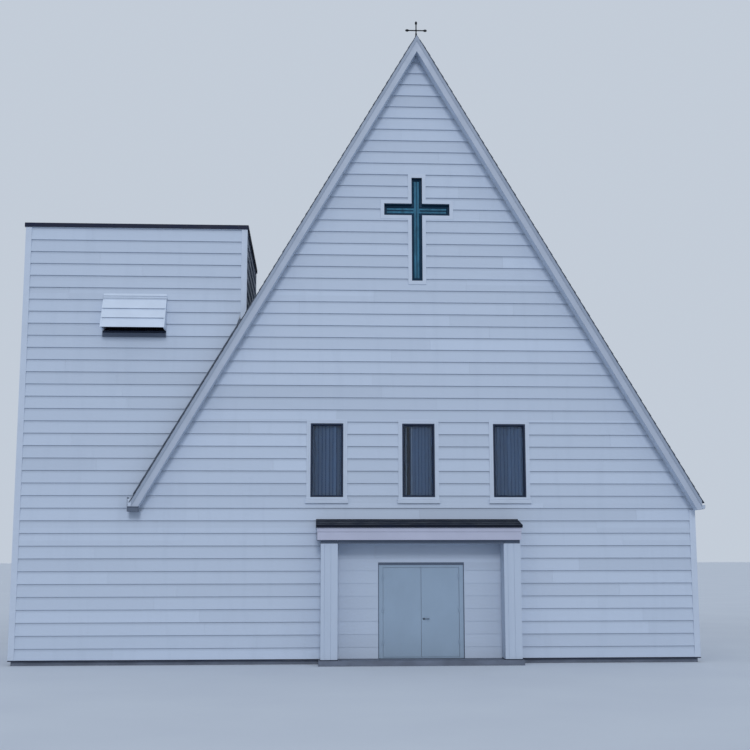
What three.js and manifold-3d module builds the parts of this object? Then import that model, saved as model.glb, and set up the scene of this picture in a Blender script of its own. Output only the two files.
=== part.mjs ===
// Modern timber church: a steep gabled nave, a square bell tower that stands in
// its front left corner, and a low portal with a double door.
// Millimetres, +Z up, front towards -Y, +X to the right seen from the front.
// Origin: middle of the nave in plan, on the underside of the foundation.

import * as THREE from "three";
import { mergeVertices } from "three/addons/utils/BufferGeometryUtils.js";
import Module from "manifold-3d";

const wasm = await Module();
wasm.setup();

// Fits
const GAP = 0.3;            // between pieces that rest on or against each other
const RUN = 6;              // round the door leaves, so that they swing freely
const PAST = 1;             // a solid that cuts or joins runs this far past the face

// Nave
const WALL = 200;           // outer walls, cladding to lining
const NAVE_HALF = 6090;     // middle of the nave to the outer face of a side wall
const NAVE_LENGTH = 18000;
const FRONT = -NAVE_LENGTH / 2;
const REAR = NAVE_LENGTH / 2;
const PLINTH = 110;         // the foundation above the ground
const PLINTH_INSET = 25;    // the cladding stands out past the foundation
const FLOOR_T = 22;

// Nave roof, measured on the boarding that carries the slates
const PITCH = THREE.MathUtils.degToRad(59.77);
const SLOPE = Math.tan(PITCH);
const RIDGE = PLINTH + 14000;
const ROOF_T = 185;         // square to the slope
const ROOF_DROP = ROOF_T / Math.cos(PITCH);
const GAP_DROP = GAP / Math.cos(PITCH);
const VERGE = 280;          // roof past a gable wall
const EAVE = 6200;          // middle of the nave to the end of the roof
const EAVE_SOFFIT = PLINTH + 3180;
const BARGE_T = 25;
const BARGE_WIDTH = 190;    // square to the slope
const CAP_T = 20;
const CAP_HALF = 120;
const GUTTER = { width: 75, height: 110, wall: 6, top: EAVE_SOFFIT + 95 };

// Tower
const TOWER = { x0: -8700, x1: -3850, depth: 4200, top: PLINTH + 9440, roof: 85, overhang: 55 };
const TOWER_REAR = FRONT + TOWER.depth;
const ARCH_TOP = PLINTH + 2600;   // open way from the nave into the foot of the tower

// Bell louvre on the tower front
const LOUVRE = { x: -6277, width: 1394, top: PLINTH + 7830, slats: 3, step: 228, lap: 26,
                 out: 100, run: 150, foot: 50, thick: 24, cheek: 30 };
const BELL_HOLE = { width: 1340, z0: PLINTH + 7105, z1: PLINTH + 7800 };

// Windows: clear glass sizes, the frame stands round the glass
const WIN = { width: 715, height: 1615, frame: 45, depth: 70, setBack: 35, pane: 24,
              sill: 30, sillOut: 60 };
const WIN_SPACING = 2015;
const WIN_BOTTOM = PLINTH + 3450;        // front and rear gables
const SIDE_WIN_BOTTOM = PLINTH + 1250;   // under the low eaves
const SIDE_WIN_SPACING = 3200;

// Cross-shaped window in the front gable
const CROSS = { bar: 238, armHalf: 742, bottom: PLINTH + 8320, top: PLINTH + 10700,
                arm: PLINTH + 9952, frame: 48, depth: 60, setBack: 55, pane: 20 };

// Portal
const PIER = { inner: 1780, outer: 2140, out: 500 };
const CANOPY = { x: -35, half: 2190, out: 600, z0: PLINTH + 2515, z1: PLINTH + 2788 };
const CANOPY_ROOF = { half: 2210, out: 625, rise: 170, edge: 35 };
const LANDING = { half: 2180, out: 560 };

// Double door
const DOOR = { x: 40, half: 935, height: 2040, frame: 105, setBack: 25, frameDepth: 120, sill: 25,
               stop: 20, leafT: 54, leafBack: 8, bevel: 4 };
const HINGE = { radius: 8, out: 14, barrel: 50, tab: 24, tabFront: 2, sides: 16,
                heights: [260, 950, 1640] };
const HANDLE = { fromMeeting: 55, z: PLINTH + 840, rose: 26, roseT: 8, spindle: 8, neck: 9,
                 stand: 42, lever: 120, sides: 20 };

// Iron cross on the ridge
const FINIAL = { y: FRONT - 120, bar: 20, armHalf: 228, arm: PLINTH + 14205, top: PLINTH + 14405,
                 knob: 24, saddle: 140, saddleHalf: 42, saddleTop: 70, saddleDip: 28, root: 2 };

const material = (color, roughness, metalness = 0) =>
  new THREE.MeshStandardMaterial({ color, roughness, metalness });
const PAINT = material(0xdfe6ee, 0.55);
const TRIM = material(0xe9edf3, 0.5);
const SLATE = material(0x4b5260, 0.7);
const BLACK_METAL = material(0x14161c, 0.45, 0.7);
const CONCRETE = material(0x8b8f94, 0.9);
const BOARDS = material(0xb08a5e, 0.6);
const DOOR_PAINT = material(0x8fa6b8, 0.5);
const GLASS = material(0x3c4a60, 0.12);
const TEAL_GLASS = material(0x1f5f78, 0.2);
const IRON = material(0x202326, 0.5, 0.8);
const STEEL = material(0x8d9196, 0.35, 0.9);

// Height of the underside and of the top of the roof boarding at a distance from the ridge
const roofTop = (x) => RIDGE - SLOPE * Math.abs(x);
const roofUnder = (x) => roofTop(x) - ROOF_DROP;
const wallTop = (x) => roofUnder(x) - GAP_DROP;

function box(x0, x1, y0, y1, z0, z1) {
  const shape = new THREE.BoxGeometry(x1 - x0, y1 - y0, z1 - z0);
  return shape.translate((x0 + x1) / 2, (y0 + y1) / 2, (z0 + z1) / 2);
}

// An outline in the X-Z plane, carried along Y from y0 to y1
function prism(outline, y0, y1) {
  const shape = new THREE.Shape(outline.map(([x, z]) => new THREE.Vector2(x, z)));
  const solid = new THREE.ExtrudeGeometry(shape, { depth: y1 - y0, bevelEnabled: false });
  return solid.rotateX(Math.PI / 2).translate(0, y1, 0);
}

// An outline in plan, carried up from z0 to z1
function slab(outline, z0, z1) {
  const shape = new THREE.Shape(outline.map(([x, y]) => new THREE.Vector2(x, y)));
  const solid = new THREE.ExtrudeGeometry(shape, { depth: z1 - z0, bevelEnabled: false });
  return solid.translate(0, 0, z0);
}

// An outline in the Y-Z plane, carried along X from x0 to x1
function across(outline, x0, x1) {
  const shape = new THREE.Shape(outline.map(([y, z]) => new THREE.Vector2(y, z)));
  const solid = new THREE.ExtrudeGeometry(shape, { depth: x1 - x0, bevelEnabled: false });
  return solid.rotateX(Math.PI / 2).rotateZ(Math.PI / 2).translate(x0, 0, 0);
}

function post(radius, x, y, z0, z1, sides) {
  const solid = new THREE.CylinderGeometry(radius, radius, z1 - z0, sides);
  return solid.rotateX(Math.PI / 2).translate(x, y, (z0 + z1) / 2);
}

function toSolid(geometry) {
  const bare = geometry.clone();
  bare.deleteAttribute("normal");
  bare.deleteAttribute("uv");
  const merged = mergeVertices(bare, 1e-3);
  return new wasm.Manifold(new wasm.Mesh({
    numProp: 3,
    vertProperties: new Float32Array(merged.attributes.position.array),
    triVerts: new Uint32Array(merged.index.array),
  }));
}

function fromSolid(solid) {
  const { vertProperties, triVerts } = solid.getMesh();
  const geometry = new THREE.BufferGeometry();
  geometry.setAttribute("position", new THREE.BufferAttribute(new Float32Array(vertProperties), 3));
  geometry.setIndex(new THREE.BufferAttribute(new Uint32Array(triVerts), 1));
  geometry.computeVertexNormals();
  return geometry;
}

const join = (...shapes) => fromSolid(shapes.map(toSolid).reduce((all, one) => all.add(one)));
const cut = (shape, ...tools) =>
  fromSolid(tools.map(toSolid).reduce((rest, tool) => rest.subtract(tool), toSolid(shape)));

const church = new THREE.Group();
const nave = new THREE.Group();
const tower = new THREE.Group();
const portal = new THREE.Group();
church.add(nave, tower, portal);

function piece(group, name, geometry, finish) {
  const mesh = new THREE.Mesh(geometry, finish);
  mesh.name = name;
  group.add(mesh);
}

// Foundation and floor. The foundation carries nave, tower and the portal's landing.
function foundation() {
  const [side, left] = [NAVE_HALF - PLINTH_INSET, TOWER.x0 + PLINTH_INSET];
  const [front, rear] = [FRONT + PLINTH_INSET, REAR - PLINTH_INSET];
  const landing = FRONT - LANDING.out;
  return slab([
    [left, front], [-LANDING.half, front], [-LANDING.half, landing], [LANDING.half, landing],
    [LANDING.half, front], [side, front], [side, rear], [-side, rear],
    [-side, TOWER_REAR - PLINTH_INSET], [left, TOWER_REAR - PLINTH_INSET],
  ], 0, PLINTH);
}

// The floor runs on from the nave into the foot of the tower, round the end of its rear wall
function floor() {
  const inside = NAVE_HALF - WALL - GAP;
  const [front, rear] = [FRONT + WALL + GAP, REAR - WALL - GAP];
  const left = TOWER.x0 + WALL + GAP;
  return slab([
    [left, front], [inside, front], [inside, rear], [-inside, rear],
    [-inside, TOWER_REAR + GAP], [TOWER.x1 + GAP, TOWER_REAR + GAP],
    [TOWER.x1 + GAP, TOWER_REAR - WALL - GAP], [left, TOWER_REAR - WALL - GAP],
  ], PLINTH + GAP, PLINTH + GAP + FLOOR_T);
}

// Walls of the nave
const FOOT = PLINTH + GAP;
const windowHole = (x, bottom, y) => {
  const half = WIN.width / 2 + WIN.frame;
  return box(x - half, x + half, y - WALL * 2, y + WALL * 2,
    bottom - WIN.frame, bottom + WIN.height + WIN.frame);
};
const gableHoles = (y) => [-1, 0, 1].map((i) => windowHole(i * WIN_SPACING, WIN_BOTTOM, y));

// The cross as an outline, all edges moved inwards by the same distance
function crossOutline(inwards) {
  const [bar, arm] = [CROSS.bar / 2 - inwards, CROSS.armHalf - inwards];
  const [low, high] = [CROSS.arm - bar, CROSS.arm + bar];
  const [z0, z1] = [CROSS.bottom + inwards, CROSS.top - inwards];
  return [
    [-bar, z0], [bar, z0], [bar, low], [arm, low], [arm, high], [bar, high],
    [bar, z1], [-bar, z1], [-bar, high], [-arm, high], [-arm, low], [-bar, low],
  ];
}

function frontGable() {
  const [left, head] = [TOWER.x1 + GAP, PLINTH + DOOR.height];
  const wall = prism([
    [left, head], [NAVE_HALF, head], [NAVE_HALF, wallTop(NAVE_HALF)],
    [0, wallTop(0)], [left, wallTop(left)],
  ], FRONT, FRONT + WALL);
  return cut(wall, ...gableHoles(FRONT), prism(crossOutline(0), FRONT - PAST, FRONT + WALL + PAST));
}

function rearWall() {
  return cut(prism([
    [-NAVE_HALF, FOOT], [NAVE_HALF, FOOT], [NAVE_HALF, wallTop(NAVE_HALF)],
    [0, wallTop(0)], [-NAVE_HALF, wallTop(NAVE_HALF)],
  ], REAR - WALL, REAR), ...gableHoles(REAR));
}

// Side walls stop at the sloping underside of the roof. side is -1 left, 1 right.
function sideWall(side, y0, y1, windows) {
  const [outer, inner] = [side * NAVE_HALF, side * (NAVE_HALF - WALL)];
  const outline = [[outer, FOOT], [outer, wallTop(outer)], [inner, wallTop(inner)], [inner, FOOT]];
  const wall = prism(side > 0 ? outline : outline.reverse(), y0, y1);
  const half = WIN.width / 2 + WIN.frame;
  const reach = WALL * 2;
  return cut(wall, ...windows.map((y) => box(
    outer - reach, outer + reach, y - half, y + half,
    SIDE_WIN_BOTTOM - WIN.frame, SIDE_WIN_BOTTOM + WIN.height + WIN.frame)));
}

const doorHead = PLINTH + DOOR.height - GAP;
const RIGHT_WINDOWS = [-2, -1, 0, 1, 2].map((i) => i * SIDE_WIN_SPACING);
const LEFT_WINDOWS = [-1, 0, 1, 2].map((i) => i * SIDE_WIN_SPACING);

piece(nave, "foundation", foundation(), CONCRETE);
piece(nave, "nave_floor", floor(), BOARDS);
piece(nave, "front_wall_left",
  box(TOWER.x1 + GAP, DOOR.x - DOOR.half, FRONT, FRONT + WALL, FOOT, doorHead), PAINT);
piece(nave, "front_wall_right",
  box(DOOR.x + DOOR.half, NAVE_HALF, FRONT, FRONT + WALL, FOOT, doorHead), PAINT);
piece(nave, "front_gable", frontGable(), PAINT);
piece(nave, "rear_wall", rearWall(), PAINT);
piece(nave, "side_wall_right",
  sideWall(1, FRONT + WALL + GAP, REAR - WALL - GAP, RIGHT_WINDOWS), PAINT);
piece(nave, "side_wall_left",
  sideWall(-1, TOWER_REAR + GAP, REAR - WALL - GAP, LEFT_WINDOWS), PAINT);

// One slope of the roof between two distances from the ridge, or down to the eaves.
// The eaves end is cut plumb, and level underneath.
function slope(side, y0, y1, from, to) {
  const outline = to < EAVE
    ? [[from, roofTop(from)], [from, roofUnder(from)], [to, roofUnder(to)], [to, roofTop(to)]]
    : [[from, roofTop(from)], [from, roofUnder(from)],
       [(RIDGE - ROOF_DROP - EAVE_SOFFIT) / SLOPE, EAVE_SOFFIT],
       [EAVE, EAVE_SOFFIT], [EAVE, roofTop(EAVE)]];
  const turned = outline.map(([x, z]) => [side * x, z]);
  return prism(side > 0 ? turned : turned.reverse(), y0, y1);
}

const roofFront = FRONT - VERGE;
const roofRear = REAR + VERGE;
const beside = -TOWER.x1 - GAP;   // the slope stops against the tower's right wall
piece(nave, "roof_right", slope(1, roofFront, roofRear, GAP, EAVE), SLATE);
piece(nave, "roof_left_rear", slope(-1, TOWER_REAR + GAP, roofRear, GAP, EAVE), SLATE);
// In front of the tower only the verge runs on down to the eaves
piece(nave, "roof_left_front", join(
  slope(-1, roofFront, TOWER_REAR, GAP, beside),
  slope(-1, roofFront, FRONT - GAP, beside - WALL, EAVE),
), SLATE);

// Ridge cap, a folded sheet over the meeting of the slopes
const capUnder = RIDGE + GAP_DROP;
const capTop = capUnder + CAP_T / Math.cos(PITCH);
piece(nave, "ridge_cap", prism([
  [0, capUnder], [CAP_HALF, capUnder - SLOPE * CAP_HALF], [CAP_HALF, capTop - SLOPE * CAP_HALF],
  [0, capTop], [-CAP_HALF, capTop - SLOPE * CAP_HALF], [-CAP_HALF, capUnder - SLOPE * CAP_HALF],
], roofFront, roofRear), BLACK_METAL);

// Bargeboards close the ends of the roof slopes, mitred at the ridge
function bargeboard(side, y0, y1) {
  const drop = BARGE_WIDTH / Math.cos(PITCH);
  const soffit = EAVE_SOFFIT - GAP;
  const outline = [
    [GAP, RIDGE], [GAP, RIDGE - drop], [(RIDGE - drop - soffit) / SLOPE, soffit],
    [EAVE, soffit], [EAVE, roofTop(EAVE)],
  ].map(([x, z]) => [side * x, z]);
  return prism(side > 0 ? outline : outline.reverse(), y0, y1);
}

for (const [hand, side] of [["left", -1], ["right", 1]]) {
  piece(nave, `bargeboard_front_${hand}`,
    bargeboard(side, roofFront - GAP - BARGE_T, roofFront - GAP), TRIM);
  piece(nave, `bargeboard_rear_${hand}`,
    bargeboard(side, roofRear + GAP, roofRear + GAP + BARGE_T), TRIM);
}

// Gutters: open troughs on the plumb ends of the eaves
function gutter(side, y0, y1) {
  const [x0, x1] = [EAVE + GAP, EAVE + GAP + GUTTER.width];
  const [z0, z1, t] = [GUTTER.top - GUTTER.height, GUTTER.top, GUTTER.wall];
  const [a0, a1] = side > 0 ? [x0, x1] : [-x1, -x0];
  return cut(box(a0, a1, y0, y1, z0, z1), box(a0 + t, a1 - t, y0 + t, y1 - t, z0 + t, z1 + t));
}

piece(nave, "gutter_right", gutter(1, roofFront, roofRear), BLACK_METAL);
piece(nave, "gutter_left", gutter(-1, TOWER_REAR + GAP, roofRear), BLACK_METAL);

// Tower: four walls and a flat roof. The right wall stands on a lintel over an open way.
function towerFront() {
  const half = BELL_HOLE.width / 2;
  return cut(
    box(TOWER.x0, TOWER.x1, FRONT, FRONT + WALL, FOOT, TOWER.top),
    box(LOUVRE.x - half, LOUVRE.x + half, FRONT - PAST, FRONT + WALL + PAST,
      BELL_HOLE.z0, BELL_HOLE.z1));
}

const between = [FRONT + WALL + GAP, TOWER_REAR - WALL - GAP];
piece(tower, "tower_wall_front", towerFront(), PAINT);
piece(tower, "tower_wall_left",
  box(TOWER.x0, TOWER.x0 + WALL, ...between, FOOT, TOWER.top), PAINT);
piece(tower, "tower_wall_rear",
  box(TOWER.x0, TOWER.x1, TOWER_REAR - WALL, TOWER_REAR, FOOT, TOWER.top), PAINT);
piece(tower, "tower_wall_right",
  box(TOWER.x1 - WALL, TOWER.x1, ...between, ARCH_TOP, TOWER.top), PAINT);
piece(tower, "tower_roof", box(
  TOWER.x0 - TOWER.overhang, TOWER.x1 + TOWER.overhang,
  FRONT - TOWER.overhang, TOWER_REAR + TOWER.overhang,
  TOWER.top + GAP, TOWER.top + GAP + TOWER.roof), BLACK_METAL);

// Louvre: slats that step out as they go down, held by two cheeks, open underneath.
// The foot of each slat stands clear in front of the head of the next.
function louvre() {
  const back = FRONT - GAP;
  const [x0, x1] = [LOUVRE.x - LOUVRE.width / 2, LOUVRE.x + LOUVRE.width / 2];
  const slat = (i) => {
    const head = LOUVRE.top - i * LOUVRE.step;
    const foot = head - LOUVRE.step - LOUVRE.lap;
    const y = back - LOUVRE.foot - i * LOUVRE.out;
    return [
      [y + LOUVRE.thick, head], [y, head],
      [y - LOUVRE.run, foot], [y + LOUVRE.thick - LOUVRE.run, foot],
    ];
  };
  const bottom = LOUVRE.top - LOUVRE.slats * LOUVRE.step - LOUVRE.lap;
  const reach = back - LOUVRE.foot - (LOUVRE.slats - 1) * LOUVRE.out - LOUVRE.run;
  const cheek = [[back, LOUVRE.top], [back - LOUVRE.foot, LOUVRE.top], [reach, bottom], [back, bottom]];
  const slats = Array.from({ length: LOUVRE.slats }, (_, i) => across(slat(i), x0, x1));
  const lid = box(x0, x1, back - LOUVRE.foot - LOUVRE.thick, back,
    LOUVRE.top - LOUVRE.thick, LOUVRE.top);
  return join(
    across(cheek, x0, x0 + LOUVRE.cheek), across(cheek, x1 - LOUVRE.cheek, x1), lid, ...slats);
}

piece(tower, "tower_louvre", louvre(), TRIM);

// Windows. A frame stands in its opening with an inner sill; the pane stands in the frame.
const pane = (x, bottom, y0, y1, slack) => box(
  x - WIN.width / 2 + slack, x + WIN.width / 2 - slack, y0, y1,
  bottom + slack, bottom + WIN.height - slack);

// out is the outer face of the wall, on a wall that faces -Y
function windowFrame(x, bottom, out) {
  const half = WIN.width / 2 + WIN.frame - GAP;
  const [z0, z1] = [bottom - WIN.frame + GAP, bottom + WIN.height + WIN.frame - GAP];
  const [y0, y1] = [out + WIN.setBack, out + WIN.setBack + WIN.depth];
  return join(
    cut(box(x - half, x + half, y0, y1, z0, z1), pane(x, bottom, y0 - PAST, y1 + PAST, 0)),
    box(x - half, x + half, y1 - PAST, out + WALL + WIN.sillOut, z0, z0 + WIN.sill));
}

for (const [hand, i] of [["left", -1], ["middle", 0], ["right", 1]]) {
  const x = i * WIN_SPACING;
  const y = FRONT + WIN.setBack + (WIN.depth - WIN.pane) / 2;
  piece(nave, `window_frame_${hand}`, windowFrame(x, WIN_BOTTOM, FRONT), TRIM);
  piece(nave, `window_glass_${hand}`, pane(x, WIN_BOTTOM, y, y + WIN.pane, GAP), GLASS);
}

// The unseen walls' windows: frames with their panes, joined by one inner sill board
function windowRow(places, bottom, out) {
  const y = out + WIN.setBack + (WIN.depth - WIN.pane) / 2;
  const reach = WIN.width / 2 + WIN.frame + WIN.sillOut;
  const z0 = bottom - WIN.frame + GAP;
  const board = box(places[0] - reach, places.at(-1) + reach,
    out + WALL + GAP, out + WALL + WIN.sillOut, z0, z0 + WIN.sill);
  return join(board, ...places.flatMap((x) => [
    windowFrame(x, bottom, out), pane(x, bottom, y, y + WIN.pane, -PAST)]));
}

const facing = (geometry, turn) => geometry.rotateZ(turn);
piece(nave, "windows_rear",
  facing(windowRow([-1, 0, 1].map((i) => i * WIN_SPACING), WIN_BOTTOM, FRONT), Math.PI), TRIM);
piece(nave, "windows_right",
  facing(windowRow(RIGHT_WINDOWS, SIDE_WIN_BOTTOM, -NAVE_HALF), Math.PI / 2), TRIM);
piece(nave, "windows_left",
  facing(windowRow(LEFT_WINDOWS.map((y) => -y).reverse(), SIDE_WIN_BOTTOM, -NAVE_HALF),
    -Math.PI / 2), TRIM);

// Cross window
const crossY = FRONT + CROSS.setBack;
const paneY = crossY + (CROSS.depth - CROSS.pane) / 2;
piece(nave, "cross_window_frame", cut(
  prism(crossOutline(GAP), crossY, crossY + CROSS.depth),
  prism(crossOutline(CROSS.frame), crossY - PAST, crossY + CROSS.depth + PAST)), BLACK_METAL);
piece(nave, "cross_window_glass",
  prism(crossOutline(CROSS.frame + GAP), paneY, paneY + CROSS.pane), TEAL_GLASS);

// Portal: two piers, a boxed canopy and its lean-to roof, against the front wall
for (const [hand, x0, x1] of [["left", -PIER.outer, -PIER.inner], ["right", PIER.inner, PIER.outer]]) {
  piece(portal, `portal_pier_${hand}`,
    box(x0, x1, FRONT - PIER.out, FRONT - GAP, FOOT, CANOPY.z0 - GAP), TRIM);
}
piece(portal, "portal_canopy",
  box(CANOPY.x - CANOPY.half, CANOPY.x + CANOPY.half, FRONT - CANOPY.out, FRONT - GAP,
    CANOPY.z0, CANOPY.z1), TRIM);

// The lean-to rises from an upright front edge to the wall
function canopyRoof() {
  const z = CANOPY.z1 + GAP;
  const [out, back] = [FRONT - CANOPY_ROOF.out, FRONT - GAP];
  return across([
    [out, z], [back, z], [back, z + CANOPY_ROOF.rise], [out, z + CANOPY_ROOF.edge],
  ], CANOPY.x - CANOPY_ROOF.half, CANOPY.x + CANOPY_ROOF.half);
}

piece(portal, "portal_roof", canopyRoof(), BLACK_METAL);

// Door frame with its sill and the fixed half of each hinge. The door is made on the middle
// of the portal and then moved to its place.
const atDoor = (geometry) => geometry.translate(DOOR.x, 0, 0);
const frameY = FRONT + DOOR.setBack;
const leafY = frameY + DOOR.leafBack;
const clearHalf = DOOR.half - DOOR.frame;
const clearTop = PLINTH + DOOR.height - DOOR.frame;
const leafFoot = FOOT + DOOR.sill + RUN;
const pivot = { x: clearHalf - RUN / 2, y: frameY - HINGE.out };

function doorFrame() {
  const outer = DOOR.half - GAP;
  const [top, back] = [PLINTH + DOOR.height - GAP, frameY + DOOR.frameDepth];
  const stopY = leafY + DOOR.leafT + RUN;
  const [stopHalf, stopTop] = [clearHalf - DOOR.stop, clearTop - DOOR.stop];
  const ring = cut(
    box(-outer, outer, frameY, back, FOOT, top),
    box(-clearHalf, clearHalf, frameY - PAST, stopY, FOOT + DOOR.sill, clearTop),
    box(-stopHalf, stopHalf, stopY - PAST, back + PAST, FOOT + DOOR.sill, stopTop));
  const barrels = [-1, 1].flatMap((side) => HINGE.heights.flatMap((z) => {
    const [z0, z1] = [leafFoot + z, leafFoot + z + HINGE.barrel];
    const tab = [side * pivot.x, side * (pivot.x + HINGE.tab)].sort((a, b) => a - b);
    return [
      post(HINGE.radius, side * pivot.x, pivot.y, z0, z1, HINGE.sides),
      box(...tab, pivot.y - HINGE.tabFront, frameY + PAST, z0, z1),
    ];
  }));
  return join(ring, ...barrels);
}

// A leaf hangs on the upper half of each hinge. side is -1 left, 1 right.
// Its meeting edge is bevelled, so that it swings out past the other leaf.
function doorLeaf(side) {
  const [near, far, back] = [RUN / 2, clearHalf - RUN, leafY + DOOR.leafT];
  const plan = [[near, leafY], [far, leafY], [far, back], [near + DOOR.bevel, back]]
    .map(([x, y]) => [side * x, y]);
  const panel = slab(side > 0 ? plan : plan.reverse(), leafFoot, clearTop - RUN);
  const barrels = HINGE.heights.flatMap((z) => {
    const z0 = leafFoot + z + HINGE.barrel + GAP;
    const tab = [side * pivot.x, side * (pivot.x - HINGE.tab)].sort((a, b) => a - b);
    return [
      post(HINGE.radius, side * pivot.x, pivot.y, z0, z0 + HINGE.barrel, HINGE.sides),
      box(...tab, pivot.y - HINGE.tabFront, leafY + PAST, z0, z0 + HINGE.barrel),
    ];
  });
  return join(panel, ...barrels);
}

// A round bar along Y
const bar = (radius, x, y0, y1, z) => new THREE.CylinderGeometry(
  radius, radius, y1 - y0, HANDLE.sides).translate(x, (y0 + y1) / 2, z);

// Lever handle: roses and levers on both faces of the leaf, on one spindle through it
function doorHandle() {
  const x = HANDLE.fromMeeting;
  const [front, back] = [leafY - GAP, leafY + DOOR.leafT + GAP];
  const lever = (y) => box(x - HANDLE.neck, x + HANDLE.lever, y - HANDLE.neck, y + HANDLE.neck,
    HANDLE.z - HANDLE.neck, HANDLE.z + HANDLE.neck);
  return join(
    bar(HANDLE.spindle, x, front - HANDLE.stand, back + HANDLE.stand, HANDLE.z),
    bar(HANDLE.rose, x, front - HANDLE.roseT, front, HANDLE.z),
    bar(HANDLE.rose, x, back, back + HANDLE.roseT, HANDLE.z),
    lever(front - HANDLE.stand), lever(back + HANDLE.stand));
}

const spindleHole = bar(HANDLE.spindle + GAP, HANDLE.fromMeeting,
  leafY - PAST, leafY + DOOR.leafT + PAST, HANDLE.z);
piece(portal, "door_frame", atDoor(doorFrame()), DOOR_PAINT);
piece(portal, "door_leaf_left", atDoor(doorLeaf(-1)), DOOR_PAINT);
piece(portal, "door_leaf_right", atDoor(cut(doorLeaf(1), spindleHole)), DOOR_PAINT);
piece(portal, "door_handle", atDoor(doorHandle()), STEEL);

// Iron cross on a saddle that sits over the front end of the ridge cap
function ridgeCross() {
  const half = FINIAL.saddleHalf;
  const under = capTop + GAP_DROP;
  const [y0, y1] = [FINIAL.y - FINIAL.saddle / 2, FINIAL.y + FINIAL.saddle / 2];
  const saddle = prism([
    [0, under], [half, under - SLOPE * half], [half, under - SLOPE * half + FINIAL.saddleTop],
    [0, under + FINIAL.saddleDip], [-half, under - SLOPE * half + FINIAL.saddleTop],
    [-half, under - SLOPE * half],
  ], y0, y1);
  const b = FINIAL.bar / 2;
  const knob = (x, z) => new THREE.OctahedronGeometry(FINIAL.knob, 1).translate(x, FINIAL.y, z);
  return join(
    saddle,
    box(-b, b, FINIAL.y - b, FINIAL.y + b, under + FINIAL.root, FINIAL.top),
    box(-FINIAL.armHalf, FINIAL.armHalf, FINIAL.y - b, FINIAL.y + b, FINIAL.arm - b, FINIAL.arm + b),
    knob(0, FINIAL.top), knob(-FINIAL.armHalf, FINIAL.arm), knob(FINIAL.armHalf, FINIAL.arm));
}

piece(nave, "ridge_cross", ridgeCross(), IRON);

export default church;
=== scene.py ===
"""Dresses the frame of a modern timber church with boards, slates, metal, glass and ironwork.

All sizes are metres in the frame's own axes: front towards -Y, +X to the right seen from the front, +Z up.
A wall has coordinates of its own: u along it, w out of it and z up.
"""

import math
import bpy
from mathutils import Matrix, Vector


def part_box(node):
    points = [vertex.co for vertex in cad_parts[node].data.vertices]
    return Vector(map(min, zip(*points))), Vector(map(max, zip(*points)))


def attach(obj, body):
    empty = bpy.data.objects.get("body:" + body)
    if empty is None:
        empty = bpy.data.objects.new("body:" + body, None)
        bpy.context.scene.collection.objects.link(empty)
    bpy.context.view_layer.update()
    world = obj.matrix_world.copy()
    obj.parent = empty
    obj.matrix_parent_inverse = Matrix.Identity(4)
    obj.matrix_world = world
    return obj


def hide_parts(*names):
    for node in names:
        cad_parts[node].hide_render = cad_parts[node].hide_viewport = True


bl_info = {
    "name": "Timber church with bell tower",
    "version": (1, 0, 0),
    "blender": (4, 5, 0),
    "location": "3D View > Sidebar > Church",
    "description": "Dresses the frame of a timber church with boards, slates, metal, glass and ironwork",
    "category": "Add Mesh",
}

import bmesh
import bpy
import numpy as np
from bpy.props import FloatProperty, FloatVectorProperty, PointerProperty

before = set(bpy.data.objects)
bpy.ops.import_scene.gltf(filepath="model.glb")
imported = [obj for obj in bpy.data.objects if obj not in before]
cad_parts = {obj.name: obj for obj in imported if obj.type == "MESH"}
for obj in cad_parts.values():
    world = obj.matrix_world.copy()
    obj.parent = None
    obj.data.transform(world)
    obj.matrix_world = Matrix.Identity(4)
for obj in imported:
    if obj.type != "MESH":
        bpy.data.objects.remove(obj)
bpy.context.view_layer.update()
UP = np.array([0.0, 0.0, 1.0])
HANDS = (("right", 1), ("left", -1))
# What keeps two faces that touch apart
CLEAR = 0.0005


def span(node):
    """Lowest and highest corner of a frame piece."""
    low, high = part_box(node)
    return np.array(low), np.array(high)


def corners_of(node, axis=0, place=None):
    """Corners of a frame piece, one row each: every one, or those within 1 mm of a place on an axis."""
    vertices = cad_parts[node].data.vertices
    found = np.empty(len(vertices) * 3, np.float32)
    vertices.foreach_get("co", found)
    found = found.reshape(-1, 3).astype(float)
    return found if place is None else found[np.abs(found[:, axis] - place) < 0.001]


# Places read from the frame
FRONT = span("front_wall_left")[0][1]
REAR = span("rear_wall")[1][1]
HALF = span("side_wall_right")[1][0]
WALL_THICKNESS = span("front_wall_left")[1][1] - FRONT
PLINTH = span("foundation")[1][2]
TOWER_LOW, TOWER_HIGH = span("tower_wall_front")
TOWER_REAR = span("tower_wall_rear")[1][1]
TOWER_IN = -TOWER_HIGH[0]

# The roof's eaves, pitch, ridge and thickness, from the corners of its right slope
(RIDGE_X, VERGE_FRONT, SOFFIT), (EAVE, VERGE_REAR, _) = span("roof_right")
RIDGE_EDGE = corners_of("roof_right", 0, RIDGE_X)[:, 2]
EAVE_TOP = corners_of("roof_right", 0, EAVE)[:, 2].max()
SLOPE = (RIDGE_EDGE.max() - EAVE_TOP) / (EAVE - RIDGE_X)
PITCH = math.atan(SLOPE)
RIDGE = EAVE_TOP + SLOPE * EAVE
ROOF_DROP = np.ptp(RIDGE_EDGE)


def linear(code):
    """Linear RGB of an sRGB hex colour, each channel taken back through the sRGB curve."""
    channels = [int(code[i:i + 2], 16) / 255 for i in (1, 3, 5)]
    return tuple(c / 12.92 if c <= 0.04045 else ((c + 0.055) / 1.055) ** 2.4 for c in channels)


def size(name, description, default):
    """A length that a user may change."""
    return FloatProperty(name=name, description=description, default=default, min=0.0, unit="LENGTH")


def colour(name, description, code):
    """A colour that a user may change, given as sRGB hex."""
    return FloatVectorProperty(
        name=name, description=description, default=linear(code), min=0.0, max=1.0, subtype="COLOR")


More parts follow.
